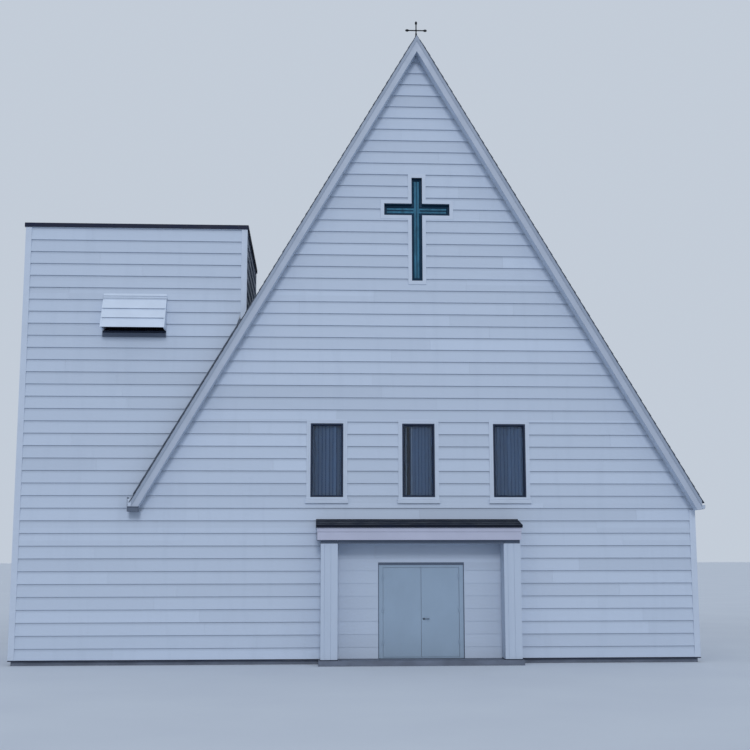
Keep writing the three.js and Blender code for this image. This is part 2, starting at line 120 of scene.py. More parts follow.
class ChurchSizes(bpy.types.PropertyGroup):
    """Sizes of what is laid on the frame."""

    board_exposure: size("Board exposure", "Height that shows of each weatherboard", 0.27)
    board_line: size("Board line", "Height of one lower board edge above the plinth", 0.244)
    board_foot: size("Board foot", "Thickness of a weatherboard at its lower edge", 0.031)
    recess_foot: size("Recess board foot", "The same for the flatter boards inside the portal", 0.016)
    board_head: size("Board head", "Thickness of a weatherboard at its upper edge", 0.007)
    board_length: size("Board length", "Longest board before a butt joint", 4.8)
    corner_width: size("Corner board", "Width of a corner board", 0.1)
    corner_thickness: size("Corner thickness", "How far corner boards stand out", 0.032)
    verge_trim: size("Verge trim", "How far the verge trim is turned down over the bargeboard", 0.06)
    casing_width: size("Casing", "Width of the boards round a window", 0.045)
    sill_height: size("Sill", "Height of an outer window sill", 0.09)
    sash_width: size("Sash", "Width of the dark sash that holds a pane", 0.042)
    cross_casing: size("Cross casing", "Width of the flat boards round the cross window", 0.085)
    slate_exposure: size("Slate exposure", "Length that shows of each slate", 0.2)
    slate_width: size("Slate width", "Width of a slate", 0.3)
    slate_thickness: size("Slate thickness", "Thickness of a slate", 0.012)
    blind_slat: size("Blind slat", "Width of a slat of the upright blinds", 0.089)
    # The grey strip round the door frame is painted shade
    door_shade_head: size("Door head", "Height of the grey strip along the head of the door frame", 0.055)
    # The dark strip under the portal's fascia is painted shade
    shadow_gap: size("Shadow gap", "Height of the dark strip under the portal's fascia", 0.075)
    bracket_spacing: size("Bracket spacing", "Distance between gutter brackets", 0.75)


class ChurchColours(bpy.types.PropertyGroup):
    """Colours of the finishes."""

    lapped: colour("Weatherboards", "Paint on the lapped weatherboards of the outer walls", "#BCC7D7")
    boards: colour("Portal boards", "Paint on the boards inside the portal and on its piers", "#B9C4D4")
    trim: colour("Trim", "Paint on casings, corner boards and the box at the left verge's foot", "#BFC9D8")
    barge: colour("Bargeboards", "Paint on the bargeboards", "#ACB5C4")
    louvre: colour("Bell louvre", "Paint on the slats and the head boards of the bell louvre", "#D1DBE9")
    lining: colour("Lining", "Paint on the inside of the walls and the roof", "#C6C9CC")
    door: colour("Door", "Enamel on the door and its frame", "#93A6B9")
    slate: colour("Slate", "Slates on the roof", "#3C4552")
    metal: colour("Sheet metal", "Coated steel of the ridge, the tower's roof and the drips", "#0E1730")
    roofing: colour("Roofing", "Coated steel of the portal's roof", "#0A1120")
    # On the door frame's edge and under the portal's fascia this grey steel is painted shade
    grey_metal_and_shade: colour("Grey metal", "Coated steel of the door's edge and the shadow gap", "#566173")
    verge_metal: colour("Verge steel", "Coated steel of the verge trims", "#96A1B2")
    rainwater: colour("Rainwater steel", "Painted steel of gutters and downpipes", "#B4BFCE")
    # Behind the blinds and at the foot of the bell opening this dark colour is painted shade
    sash: colour("Sash", "Dark sashes, and the panels behind the blinds", "#1E2A40")
    cross_frame: colour("Cross frame", "Frame of the cross window", "#0C3048")
    fascia: colour("Fascia", "Paint on the portal's fascia", "#B6B8CA")
    soffit: colour("Soffit", "Paint on the undersides of the verges, the eaves and the portal", "#C4CEDC")
    concrete: colour("Concrete", "Foundation", "#6B7280")
    floor: colour("Floor boards", "Wooden floor", "#A07A50")
    pane: colour("Window glass", "Tint of the window panes", "#A6BBD2")
    teal: colour("Cross glass", "Tint of the glass in the cross window", "#3C7A96")
    iron: colour("Iron", "Cross on the ridge", "#1B1D22")
    steel: colour("Steel", "Door lever and threshold", "#5A6470")
    blind: colour("Blinds", "Slats of the upright blinds", "#8295AC")


class Wall:
    """The outer face of a wall. u runs along it, w out of it and z up, and u, z and w turn right-handed."""

    def __init__(self, x, y, along):
        self.origin = np.array([x, y, 0.0])
        self.along = np.array([*along, 0.0])
        self.out = np.cross(self.along, UP)

    def at(self, u, w, z):
        """Points from wall coordinates: the origin plus u along, w out and z up."""
        u, w, z = np.broadcast_arrays(u, w, z)
        return self.origin + u[..., None] * self.along + w[..., None] * self.out + z[..., None] * UP


FRONT_WALL = Wall(0, FRONT, (1, 0))
REAR_WALL = Wall(0, REAR, (-1, 0))
RIGHT_WALL = Wall(HALF, 0, (0, 1))
LEFT_WALL = Wall(-HALF, 0, (0, -1))
TOWER_LEFT = Wall(TOWER_LOW[0], 0, (0, -1))
TOWER_BACK = Wall(0, TOWER_REAR, (-1, 0))
TOWER_RIGHT = Wall(-TOWER_IN, 0, (0, 1))


class Shape:
    """Points, faces as rows of point numbers, and one tone a point from 0 dark to 1 light."""

    def __init__(self, points, faces, tone=0.5):
        self.points = np.asarray(points, float).reshape(-1, 3)
        self.faces = [np.asarray(rows, int) for rows in faces]
        self.tone = np.array(np.broadcast_to(tone, len(self.points)), float)


def together(shapes):
    """One shape of several: points end to end, with each one's face numbers moved on to match."""
    starts = np.cumsum([0] + [len(s.points) for s in shapes[:-1]])
    faces = [rows + start for s, start in zip(shapes, starts) for rows in s.faces]
    return Shape(np.concatenate([s.points for s in shapes]), faces, np.concatenate([s.tone for s in shapes]))


def lofts(rings, closed=False, tone=0.5):
    """Bodies made of rings, as an array (body, ring, point, xyz), or (ring, point, xyz) for one.

    Point j of ring i joins point j+1 of ring i+1. The end rings are capped, or the last joins the first.
    """
    rings = np.asarray(rings, float)
    rings = rings[None] if rings.ndim == 3 else rings
    number = np.arange(rings[..., 0].size).reshape(rings.shape[:3])
    here = number if closed else number[:, :-1]
    there = np.roll(number, -1, 1) if closed else number[:, 1:]
    sides = np.stack([here, np.roll(here, -1, 2), np.roll(there, -1, 2), there], -1).reshape(-1, 4)
    caps = [] if closed else [number[:, 0, ::-1], number[:, -1]]
    tones = np.repeat(np.broadcast_to(tone, len(rings)), rings.shape[1] * rings.shape[2])
    return Shape(rings, [sides, *caps], tones)


def blocks(low, high):
    """Upright boxes between lowest and highest x, y and z, each a number or one a box: two rings of four."""
    low, high = (np.stack(np.broadcast_arrays(*corner), -1).reshape(-1, 3) for corner in (low, high))
    low, high = np.broadcast_arrays(low, high)
    x = np.stack([low[:, 0], high[:, 0], high[:, 0], low[:, 0]], 1)
    y = np.stack([low[:, 1], low[:, 1], high[:, 1], high[:, 1]], 1)
    rings = [np.stack([x, y, np.repeat(z[:, None], 4, 1)], -1) for z in (low[:, 2], high[:, 2])]
    return lofts(np.stack(rings, 1))


def bars(wall, u0, u1, w0, w1, z0, z1):
    """Upright boxes on a wall, from wall coordinates that are numbers or arrays."""
    one, other = wall.at(u0, w0, z0), wall.at(u1, w1, z1)
    return blocks(np.minimum(one, other).T, np.maximum(one, other).T)


def run(wall, profile, u0, u1):
    """A profile of (w, z) points carried along the wall from u0 to u1."""
    w, z = np.transpose(profile)
    return lofts([wall.at(u, w, z) for u in (u0, u1)])


def run_back(outline, y0, y1):
    """Outlines of (x, z) points carried along Y from y0 to y1, once for each pair."""
    x, z = np.transpose(outline)
    rings = [np.stack(np.broadcast_arrays(x, np.atleast_1d(y)[:, None], z), -1) for y in (y0, y1)]
    return lofts(np.stack(rings, 1))


def upright(outline, z0, z1):
    """An outline of (x, y) points carried up from z0 to z1."""
    x, y = np.transpose(outline)
    return lofts([np.stack(np.broadcast_arrays(x, y, z), -1) for z in (z0, z1)])


def surround(wall, outline, profile):
    """A profile of (offset, w) points carried round a closed outline of (u, z) points, mitred.

    At a corner the offset is along the sum of both edges' outward normals, over one plus their product.
    """
    outline = np.asarray(outline, float)
    edge = np.roll(outline, -1, 0) - outline
    normal = np.column_stack([edge[:, 1], -edge[:, 0]]) / np.linalg.norm(edge, axis=1)[:, None]
    before = np.roll(normal, 1, 0)
    mitre = (normal + before) / (1 + (normal * before).sum(1))[:, None]
    offset, w = np.transpose(profile)
    place = outline[:, None] + mitre[:, None] * offset[None, :, None]
    return lofts(wall.at(place[..., 0], w, place[..., 1]), True)


def tube(path, radius, side, sides=12):
    """A round bar along a flat path. A ring's axes are side, square to the path, and side x tangent."""
    path = np.asarray(path, float)
    tangent = np.gradient(path, axis=0)
    tangent /= np.linalg.norm(tangent, axis=1)[:, None]
    side = np.asarray(side, float)
    across = np.cross(tangent, side)
    angle = np.linspace(0, 2 * np.pi, sides, endpoint=False)
    ring = np.cos(angle)[None, :, None] * side + np.sin(angle)[None, :, None] * across[:, None]
    radius = np.broadcast_to(radius, len(path))
    return lofts(path[:, None] + ring * radius[:, None, None])


def bend(start, corner, end, radius, steps=6):
    """Points round a corner: a quadratic curve between points a radius before and after it."""
    start, corner, end = (np.asarray(p, float) for p in (start, corner, end))
    first = corner + radius * (start - corner) / np.linalg.norm(start - corner)
    last = corner + radius * (end - corner) / np.linalg.norm(end - corner)
    t = np.linspace(0, 1, steps)[:, None]
    return (1 - t) ** 2 * first + 2 * t * (1 - t) * corner + t ** 2 * last


def ball(centre, radius, steps=9, sides=16, cap=0.12):
    """A sphere, or an egg with three radii: rings of r sin(polar) at r cos(polar), capped near its ends."""
    polar = np.linspace(cap, np.pi - cap, steps)[:, None]
    angle = np.linspace(0, 2 * np.pi, sides, endpoint=False)[None, :]
    x, y = np.sin(polar) * np.cos(angle), np.sin(polar) * np.sin(angle)
    rings = np.stack([x, y, np.broadcast_to(np.cos(polar), x.shape)], -1)
    return lofts(np.asarray(centre) + np.asarray(radius) * rings)


def on_slope(side, s, y, h):
    """Points on a roof slope: s down from the ridge, y along it and h square out of the boarding."""
    s, y, h = np.broadcast_arrays(s, y, h)
    across = s * math.cos(PITCH) + h * math.sin(PITCH)
    return np.stack([side * across, y, RIDGE - s * math.sin(PITCH) + h * math.cos(PITCH)], -1)


def along_rakes(wall, profile, half=EAVE):
    """A profile of (height, w) points carried up one rake and down the other.

    Height is square to the slope, and both ends are cut plumb, so each point moves straight up.
    """
    height, w = np.transpose(profile)
    over = height / math.cos(PITCH)
    return lofts([wall.at(u, w, RIDGE - SLOPE * abs(u) + over) for u in (-half, 0.0, half)])


def build(name, shape, look, body="building", replaces=(), bevel=0.0, smooth=0.0):
    """Makes the piece in one of the finishes, turns its faces out and puts it on its body.

    smooth is the angle where shading breaks.
    """
    mesh = bpy.data.meshes.new(name)
    mesh.from_pydata(shape.points, [], [row for rows in shape.faces for row in rows.tolist()])
    tone = mesh.attributes.new("tone", "FLOAT", "POINT")
    tone.data.foreach_set("value", shape.tone.astype(np.float32))
    work = bmesh.new()
    work.from_mesh(mesh)
    bmesh.ops.recalc_face_normals(work, faces=work.faces)
    work.to_mesh(mesh)
    work.free()
    if smooth:
        mesh.polygons.foreach_set("use_smooth", np.ones(len(mesh.polygons), bool))
        mesh.set_sharp_from_angle(angle=math.radians(smooth))
    piece = bpy.data.objects.new(name, mesh)
    bpy.context.scene.collection.objects.link(piece)
    mesh.materials.append(finish(look))
    if bevel:
        rounded = piece.modifiers.new("eased edges", "BEVEL")
        rounded.width = bevel
        rounded.segments = 2
        rounded.limit_method = "ANGLE"
        rounded.angle_limit = math.radians(40)
    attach(piece, body)
    if replaces:
        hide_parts(*replaces)


# Finishes

class Finish:
    """A material in the making: constants stand on its shader, and patterns drive its colour and surface."""

    def __init__(self, name, sockets):
        self.material = bpy.data.materials.new(name)
        self.material.use_nodes = True
        self.tree = self.material.node_tree
        self.shader = self.tree.nodes["Principled BSDF"].inputs
        self.paint = None
        for key, value in sockets.items():
            self.shader[key].default_value = value

    def add(self, kind, inputs=None, links=None, **settings):
        """Adds one node and gives its outputs: inputs are values, links are outputs of other nodes."""
        made = self.tree.nodes.new(kind)
        for key, value in settings.items():
            setattr(made, key, value)
        for key, value in (inputs or {}).items():
            made.inputs[key].default_value = value
        for key, output in (links or {}).items():
            self.tree.links.new(output, made.inputs[key])
        return made.outputs

    def uneven(self, size_mm, stretch=(1, 1, 1), detail=3.0, distortion=0.0):
        """An uneven pattern whose patches are about size_mm across, drawn out along an axis by stretch."""
        where = self.add("ShaderNodeTexCoord")["Object"]
        scale = [1000 / size_mm / s for s in stretch]
        place = self.add("ShaderNodeMapping", {"Scale": scale}, {"Vector": where})["Vector"]
        values = {"Scale": 1.0, "Detail": detail, "Distortion": distortion}
        return self.add("ShaderNodeTexNoise", values, {"Vector": place})["Fac"]

    def colour_by(self, pattern, one, other, start=0.3, end=0.7, most=1.0):
        """Base colour from one to the other as the pattern goes from start to end, or most of the way there.

        A colour is RGBA, or None for the base colour so far. Gives back the share of the other colour.
        """
        share = self.add("ShaderNodeMapRange", {"From Min": start, "From Max": end, "To Max": most},
                         {"Value": pattern})["Result"]
        colours = {6: one, 7: other}
        inputs = {socket: value for socket, value in colours.items() if value}
        links = {socket: self.paint for socket, value in colours.items() if not value}
        self.paint = self.add("ShaderNodeMix", inputs, {0: share, **links}, data_type="RGBA")[2]
        self.tree.links.new(self.paint, self.shader["Base Color"])
        return share

    def surface_by(self, pattern, roughness=None, depth_mm=0.0, strength=1.0):
        """Roughness between two values, and bumps of a real depth, both from one pattern."""
        if roughness:
            values = {"From Min": 0.3, "From Max": 0.7, "To Min": roughness[0], "To Max": roughness[1]}
            mapped = self.add("ShaderNodeMapRange", values, {"Value": pattern})["Result"]
            self.tree.links.new(mapped, self.shader["Roughness"])
        if depth_mm:
            values = {"Strength": strength, "Distance": depth_mm / 1000}
            bumps = self.add("ShaderNodeBump", values, {"Height": pattern})["Normal"]
            self.tree.links.new(bumps, self.shader["Normal"])


def tinted(rgb, factor=1.0):
    """The colour made lighter or darker by a factor, with full opacity."""
    return (*[min(1.0, c * factor) for c in rgb], 1.0)


def painted_spruce(rgb, name="painted_spruce_board", lapped=False):
    """Sawn spruce under two coats of exterior paint, brushed on.

    Each board takes the paint a little differently, rain leaves faint grey runs, and the grain still shows
    as shallow ridges. It is 4 mm wide in reality and drawn 14 mm wide, so that it shows from this far.
    Lapped boards get painted shade in the top 70 mm, under the lap of the board above, where its shadow
    falls:
    height above a board line, over the exposure, is 0 at each board's foot and 1 at its head, and the
    painted shade darkens towards 1.
    """
    made = Finish(name, {"IOR": 1.5, "Specular IOR Level": 0.35})
    tone = made.add("ShaderNodeAttribute", attribute_name="tone")["Fac"]
    made.colour_by(tone, tinted(rgb, 0.93), tinted(rgb, 1.05), 0.0, 1.0)
    grime = [c * d for c, d in zip(rgb, (0.8, 0.82, 0.84))]
    made.colour_by(made.uneven(260, (1, 1, 7), 4.0, 0.4), None, tinted(grime), 0.52, 0.78, 0.22)
    if lapped:
        sizes = bpy.context.scene.church_sizes
        step, line, lap_shade = sizes.board_exposure, PLINTH + sizes.board_line, 0.07
        where = made.add("ShaderNodeTexCoord")["Object"]
        height = made.add("ShaderNodeSeparateXYZ", links={"Vector": where})["Z"]
        rows = made.add("ShaderNodeMath", {1: 1 / step, 2: -line / step}, {0: height},
                        operation="MULTIPLY_ADD")
        part = made.add("ShaderNodeMath", links={0: rows["Value"]}, operation="FRACT")["Value"]
        # Painted shade: each board darkens towards its head, under the lap above
        made.colour_by(part, None, tinted(rgb, 0.35), 1 - lap_shade / step, 1.0, 0.3)
    made.surface_by(made.uneven(14, (40, 40, 1)), (0.48, 0.62), 1.2, 0.5)
    return made.material


def painted_trim(rgb, name="painted_planed_trim"):
    """Planed spruce boards under exterior paint: flatter than the weatherboards and a touch glossier."""
    made = Finish(name, {"IOR": 1.5, "Specular IOR Level": 0.4})
    made.colour_by(made.uneven(420, detail=4.0), tinted(rgb, 0.96), tinted(rgb, 1.04))
    made.surface_by(made.uneven(18, (12, 12, 12), 2.0), (0.4, 0.52), 0.5, 0.4)
    return made.material


def lining_boards(rgb, board=0.12, groove_wide=0.008):
    """Painted tongued boards on the inside: a groove between two, satin paint."""
    made = Finish("painted_lining_boards", {"Roughness": 0.6, "IOR": 1.5})
    where = made.add("ShaderNodeTexCoord")["Object"]
    split = made.add("ShaderNodeSeparateXYZ", links={"Vector": where})
    both = made.add("ShaderNodeMath", links={0: split["X"], 1: split["Y"]}, operation="ADD")["Value"]
    pitch = made.add("ShaderNodeMath", {1: board, 2: 0.0}, {0: both}, operation="WRAP")["Value"]
    groove = made.colour_by(pitch, tinted(rgb, 0.55), tinted(rgb), 0.0, groove_wide)
    made.surface_by(groove, None, 4.0)
    return made.material


def cleft_slate(rgb):
    """Quarried slate, split by hand: dull, each stone of its own tone, with ridges from the split."""
    made = Finish("cleft_slate", {"IOR": 1.55, "Specular IOR Level": 0.4})
    tone = made.add("ShaderNodeAttribute", attribute_name="tone")["Fac"]
    made.colour_by(tone, tinted(rgb, 0.62), tinted(rgb, 1.5), 0.0, 1.0)
    lichen = made.uneven(90, detail=6.0, distortion=0.8)
    made.colour_by(lichen, None, tinted(linear("#6F7B74")), 0.58, 0.75, 0.45)
    made.surface_by(made.uneven(70, detail=7.0, distortion=1.2), (0.5, 0.75), 4.0, 0.8)
    return made.material


def coated_steel(rgb, name="coated_sheet_steel", dust="#28324E", shine=0.2):
    """Folded sheet steel with a baked coating: slightly wavy, half matt, and dusty in patches."""
    made = Finish(name, {"Metallic": 0.0, "IOR": 1.5, "Specular IOR Level": shine})
    patches = made.uneven(340, detail=5.0)
    made.colour_by(patches, tinted(rgb), tinted(linear(dust)), 0.45, 0.75, 0.25)
    made.surface_by(patches, (0.38, 0.6))
    made.surface_by(made.uneven(600, detail=1.0), None, 6.0, 0.5)
    return made.material


def cast_concrete(rgb):
    """Concrete cast against boards: mottled grey, with pores of a few millimetres drawn at 12 mm."""
    made = Finish("cast_concrete", {"IOR": 1.5, "Specular IOR Level": 0.3})
    made.colour_by(made.uneven(500, (1, 1, 0.5), 6.0), tinted(rgb, 0.78), tinted(rgb, 1.18))
    made.surface_by(made.uneven(12, detail=4.0), (0.75, 0.95), 3.0, 0.7)
    return made.material


def floor_boards(rgb, board=0.14, joint_wide=0.004):
    """Varnished pine boards: growth rings drawn out along the board, a dark joint between two."""
    made = Finish("varnished_pine_boards", {"Roughness": 0.35, "IOR": 1.5})
    made.colour_by(made.uneven(25, (1, 30, 1), 5.0, 1.5), tinted(rgb, 0.7), tinted(rgb, 1.2))
    where = made.add("ShaderNodeTexCoord")["Object"]
    across = made.add("ShaderNodeSeparateXYZ", links={"Vector": where})["X"]
    pitch = made.add("ShaderNodeMath", {1: board, 2: 0.0}, {0: across}, operation="WRAP")["Value"]
    joint = made.colour_by(pitch, tinted(rgb, 0.25), None, 0.0, joint_wide)
    made.surface_by(joint, None, 2.0)
    return made.material


def door_enamel(rgb):
    """Alkyd enamel rolled on flat door leaves: even, satin, a fine orange peel drawn at 9 mm."""
    made = Finish("rolled_door_enamel", {"IOR": 1.5, "Coat Weight": 0.1, "Coat Roughness": 0.3})
    made.colour_by(made.uneven(700, (1, 1, 1.5)), tinted(rgb, 0.95), tinted(rgb, 1.05))
    made.surface_by(made.uneven(9, detail=2.0), (0.36, 0.48), 0.4, 0.3)
    return made.material


def float_glass(rgb):
    """Two panes of float glass with a grey cast: clear, sharp reflections with a slight wave."""
    made = Finish("float_glass", {"Base Color": tinted(rgb), "Roughness": 0.02, "IOR": 1.45,
                                  "Transmission Weight": 1.0})
    made.surface_by(made.uneven(900, detail=1.0), None, 2.0, 0.3)
    return made.material


def cathedral_glass(rgb):
    """Rolled cathedral glass coloured in the melt: streaked, ripples of 25 mm, a quarter see-through."""
    made = Finish("rolled_cathedral_glass", {"Roughness": 0.12, "IOR": 1.5, "Specular IOR Level": 0.2,
                                             "Transmission Weight": 0.25})
    made.colour_by(made.uneven(140, (1, 1, 3), 4.0, 1.0), tinted(rgb, 0.7), tinted(rgb, 1.4))
    made.surface_by(made.uneven(25, detail=2.0), None, 2.0, 0.5)
    return made.material


def wrought_iron(rgb):
    """Forged iron, blacked: dark, hammered facets of about 15 mm, worn brighter on the high spots."""
    made = Finish("blacked_wrought_iron", {"Metallic": 0.6})
    hammer = made.uneven(15, detail=2.0)
    made.colour_by(hammer, tinted(rgb, 0.8), tinted(rgb, 1.7))
    made.surface_by(hammer, (0.45, 0.65), 1.0, 0.6)
    return made.material


def brushed_steel(rgb):
    """Stainless steel, brushed along the lever: soft streaks 1 mm wide, drawn 3 mm wide."""
    made = Finish("brushed_stainless_steel", {"Metallic": 1.0})
    streaks = made.uneven(3, (30, 1, 1), 2.0)
    made.colour_by(streaks, tinted(rgb, 0.85), tinted(rgb, 1.15))
    made.surface_by(streaks, (0.25, 0.4))
    return made.material


def vinyl_slats(rgb):
    """Extruded vinyl slats: matt, each lighter or darker by the tone listed for it."""
    made = Finish("extruded_vinyl_slats", {"Roughness": 0.55, "IOR": 1.5})
    tone = made.add("ShaderNodeAttribute", attribute_name="tone")["Fac"]
    made.colour_by(tone, tinted(rgb, 0.7), tinted(rgb, 1.3), 0.0, 1.0)
    made.surface_by(made.uneven(6, (1, 1, 8), 2.0), None, 0.4, 0.4)
    return made.material


def studio_paper():
    """Seamless paper for the floor: pale, matt, with the faintest mottling."""
    made = Finish("seamless_paper", {"Roughness": 0.9, "Specular IOR Level": 0.1})
    made.colour_by(made.uneven(2500), tinted(linear("#C9CFD8")), tinted(linear("#CDD3DB")))
    return made.material


# Each finish's usual slot, the function that makes it, and what that function takes after the colour
FINISHES = {
    "lapped": ("painted_boards", painted_spruce, "painted_spruce_weatherboard", True),
    "boards": ("painted_boards", painted_spruce),
    "trim": ("painted_trim", painted_trim),
    "barge": ("painted_trim", painted_trim, "painted_bargeboard"),
    "louvre": ("painted_trim", painted_trim, "painted_louvre_slats"),
    "fascia": ("painted_trim", painted_trim, "painted_fascia"),
    "soffit": ("painted_trim", painted_trim, "painted_soffit_panel"),
    "lining": ("painted_boards", lining_boards),
    "slate": ("slate", cleft_slate),
    "metal": ("black_sheet_metal", coated_steel),
    "roofing": ("black_sheet_metal", coated_steel, "coated_roofing_steel", "#182440", 0.15),
    "grey_metal_and_shade": ("black_sheet_metal", coated_steel, "coated_grey_steel", "#6C7686", 0.45),
    "verge_metal": ("black_sheet_metal", coated_steel, "coated_verge_steel", "#8A94A4", 0.45),
    "rainwater": ("black_sheet_metal", coated_steel, "painted_rainwater_steel", "#98A3B4", 0.45),
    "sash": ("black_sheet_metal", coated_steel, "anodised_dark_sash", "#2C3A54", 0.25),
    "cross_frame": ("black_sheet_metal", coated_steel, "anodised_teal_sash", "#14384E", 0.12),
    "concrete": ("concrete", cast_concrete),
    "floor": ("floor_boards", floor_boards),
    "door": ("door_paint", door_enamel),
    "pane": ("window_glass", float_glass),
    "teal": ("teal_glass", cathedral_glass),
    "iron": ("wrought_iron", wrought_iron),
    "steel": ("handle_steel", brushed_steel),
    "blind": ("painted_trim", vinyl_slats),
}
MADE = {}


def finish(name):
    """The finish of that name, made the first time it is asked for, in the colour set for it."""
    if name not in MADE:
        _, maker, *more = FINISHES[name]
        MADE[name] = maker(tuple(getattr(bpy.context.scene.church_colours, name)), *more)
    return MADE[name]


# Windows, as the frame has them: glass sizes, with the frame round the glass. w is out of the wall
def pane_box(node):
    """Centre along the wall, foot, half width and height of a front pane."""
    low, high = span(node)
    return (low[0] + high[0]) / 2, low[2], (high[0] - low[0]) / 2, high[2] - low[2]


FRONT_PANES = [pane_box(f"window_glass_{hand}") for hand in ("left", "middle", "right")]
FRONT_PLACES = np.array([pane[0] for pane in FRONT_PANES])
_, FRONT_FOOT, PANE_HALF, PANE_HEIGHT = FRONT_PANES[0]
FRAME_WIDTH = FRONT_FOOT - span("window_frame_left")[0][2]
FRAME_HALF = PANE_HALF + FRAME_WIDTH
FRAME_W = FRONT - span("window_frame_left")[0][1]
FRAME_BACK = -FRAME_W - 0.07
PANE_W0, PANE_W1 = FRONT - span("window_glass_left")[1][1], FRONT - span("window_glass_left")[0][1]
SIDE_FOOT = span("windows_right")[0][2] + FRAME_WIDTH
REAR_FOOT = span("windows_rear")[0][2] + FRAME_WIDTH
SIDE_SPACING = 3.2


def centres(count, middle=0.0):
    """Centres of a row of windows along a side wall."""
    return middle + SIDE_SPACING * (np.arange(count) - (count - 1) / 2)


WINDOWS = {
    "front": (FRONT_WALL, FRONT_PLACES, FRONT_FOOT),
    "rear": (REAR_WALL, -FRONT_PLACES, REAR_FOOT),
    "right": (RIGHT_WALL, centres(5), SIDE_FOOT),
    "left": (LEFT_WALL, centres(4, -SIDE_SPACING / 2), SIDE_FOOT),
}


def rectangle(u, z, half, height):
    """The corners of an upright rectangle in (u, z), anticlockwise seen from outside."""
    return np.array([[u - half, z], [u + half, z], [u + half, z + height], [u - half, z + height]])


# The cross window's metal flange on the cladding: below the stem, and below and above the arms
CROSS_FLANGE = (0.02, 0.014, 0.02)


def cross_outline(grow=0.0, flange=(0.0, 0.0, 0.0)):
    """The cross window's outline in (u, z): its edges moved out by grow, and three of them by the flange."""
    node = "cross_window_frame"
    low, high = span(node)
    bar = np.abs(corners_of(node, 2, high[2])[:, 0]).max() + grow
    ends = corners_of(node, 0, high[0])[:, 2]
    arm, foot, top = high[0] + grow, low[2] - grow - flange[0], high[2] + grow
    under, over = ends.min() - grow - flange[1], ends.max() + grow + flange[2]
    return np.array([
        [-bar, foot], [bar, foot], [bar, under], [arm, under], [arm, over], [bar, over],
        [bar, top], [-bar, top], [-bar, over], [-arm, over], [-arm, under], [-bar, under]])


# The bell opening, what is folded and nailed round it, and a dark strip of painted shade at its foot
LOUVRE_LOW, LOUVRE_HIGH = span("tower_louvre")
BELL_EDGE = corners_of("tower_wall_front")
BELL_EDGE = BELL_EDGE[(BELL_EDGE[:, 2] > LOUVRE_LOW[2] - 0.6) & (BELL_EDGE[:, 2] < LOUVRE_HIGH[2])]
BELL_FOOT = BELL_EDGE[:, 2].min()
BELL_SIDES = BELL_EDGE[:, 0].min(), BELL_EDGE[:, 0].max()
SILL_FLASHING, SILL_SHADE, HEAD_BOARD = 0.1, 0.04, 0.11


# Weatherboards

def rake_half(apex, least=0.0, most=EAVE):
    """Half width under a rake with that apex, at any height, kept between two distances."""
    return lambda z: np.clip((apex - z) / SLOPE, least, most)


def minus(end):
    """The same end on the other side of the middle."""
    return lambda z: -end(z)


def end_at(end, z):
    """The end of a row at a height: the end is a number, or a function of the height."""
    return end(z) if callable(end) else end


def board_rows(sizes, field, openings, rng):
    """Strips of boards in a field, each as (row, low, high, and its left and right ends at both heights).

    A field is (z0, z1, left end, right end, and the heights of any kinks in them). A row is cut where a kink
    or the edge of an opening crosses it, and long boards get butt joints at a place drawn for the row.
    """
    z0, z1, left, right, *kinks = field
    step, line = sizes.board_exposure, PLINTH + sizes.board_line
    rows = np.arange(math.floor((z0 - line) / step), math.ceil((z1 - line) / step) + 1)
    edges = [z for opening in openings for z in opening[2:]]
    cuts = np.unique(np.round(np.clip([*(line + step * rows), *kinks, *edges, z0, z1], z0, z1), 4))
    shift = {row: rng.uniform(0, sizes.board_length) for row in rows}
    shortest, narrowest = 0.6, 0.02
    strips = []
    for low, high in zip(cuts[:-1], cuts[1:]):
        middle = (low + high) / 2
        row = math.floor((middle - line) / step)
        start = (end_at(left, low), end_at(left, high))
        stop = (end_at(right, low), end_at(right, high))
        spans = []
        for a, b, foot, head in sorted(openings):
            if foot < middle < head and b > max(start):
                spans.append((*start, min(a, stop[0]), min(a, stop[1])))
                start = (b, b)
        spans.append((*start, *stop))
        for a0, a1, b0, b1 in spans:
            joints = shift[row] + sizes.board_length * np.arange(-3, 4)
            joints = joints[(joints > max(a0, a1) + shortest) & (joints < min(b0, b1) - shortest)]
            lefts = [(a0, a1)] + [(j, j) for j in joints]
            rights = [(j, j) for j in joints] + [(b0, b1)]
            strips += [(row, low, high, *one, *other) for one, other in zip(lefts, rights)
                       if max(other[0] - one[0], other[1] - one[1]) > narrowest]
    return np.array(strips)


def weatherboards(sizes, wall, fields, openings, seed, thickest):
    """Tapered boards: thickest at the lower edge, thin at the upper, so each one laps over the next below.

    Thickness falls evenly from foot to head across the exposure, and boards end to end stand a gap apart.
    """
    rng = np.random.default_rng(seed)
    rows = np.concatenate([board_rows(sizes, field, openings, rng) for field in fields])
    row, low, high, a0, a1, b0, b1 = rows.T
    foot = PLINTH + sizes.board_line + sizes.board_exposure * row
    taper = (thickest - sizes.board_head) / sizes.board_exposure
    half_gap = 0.0007
    ends = np.array([half_gap, -half_gap, -half_gap, half_gap])
    rings = []
    for a, b, z in ((a0, b0, low), (a1, b1, high)):
        thick = thickest - taper * (z - foot)
        u, w = np.stack([a, b, b, a], 1), np.stack([0 * z, 0 * z, thick, thick], 1)
        rings.append(wall.at(u + ends, w, z[:, None]))
    tones = np.clip(rng.normal(0.5, 0.2, len(rows)), 0, 1)
    return lofts(np.stack(rings, 1), tone=tones)


def window_openings(sizes, name):
    """The outer edges of the casings of a wall's windows, as (u0, u1, z0, z1)."""
    _, places, foot = WINDOWS[name]
    out = FRAME_HALF + sizes.casing_width
    return [(u - out, u + out, foot - FRAME_WIDTH - sizes.sill_height,
             foot + PANE_HEIGHT + FRAME_WIDTH + sizes.casing_width) for u in places]


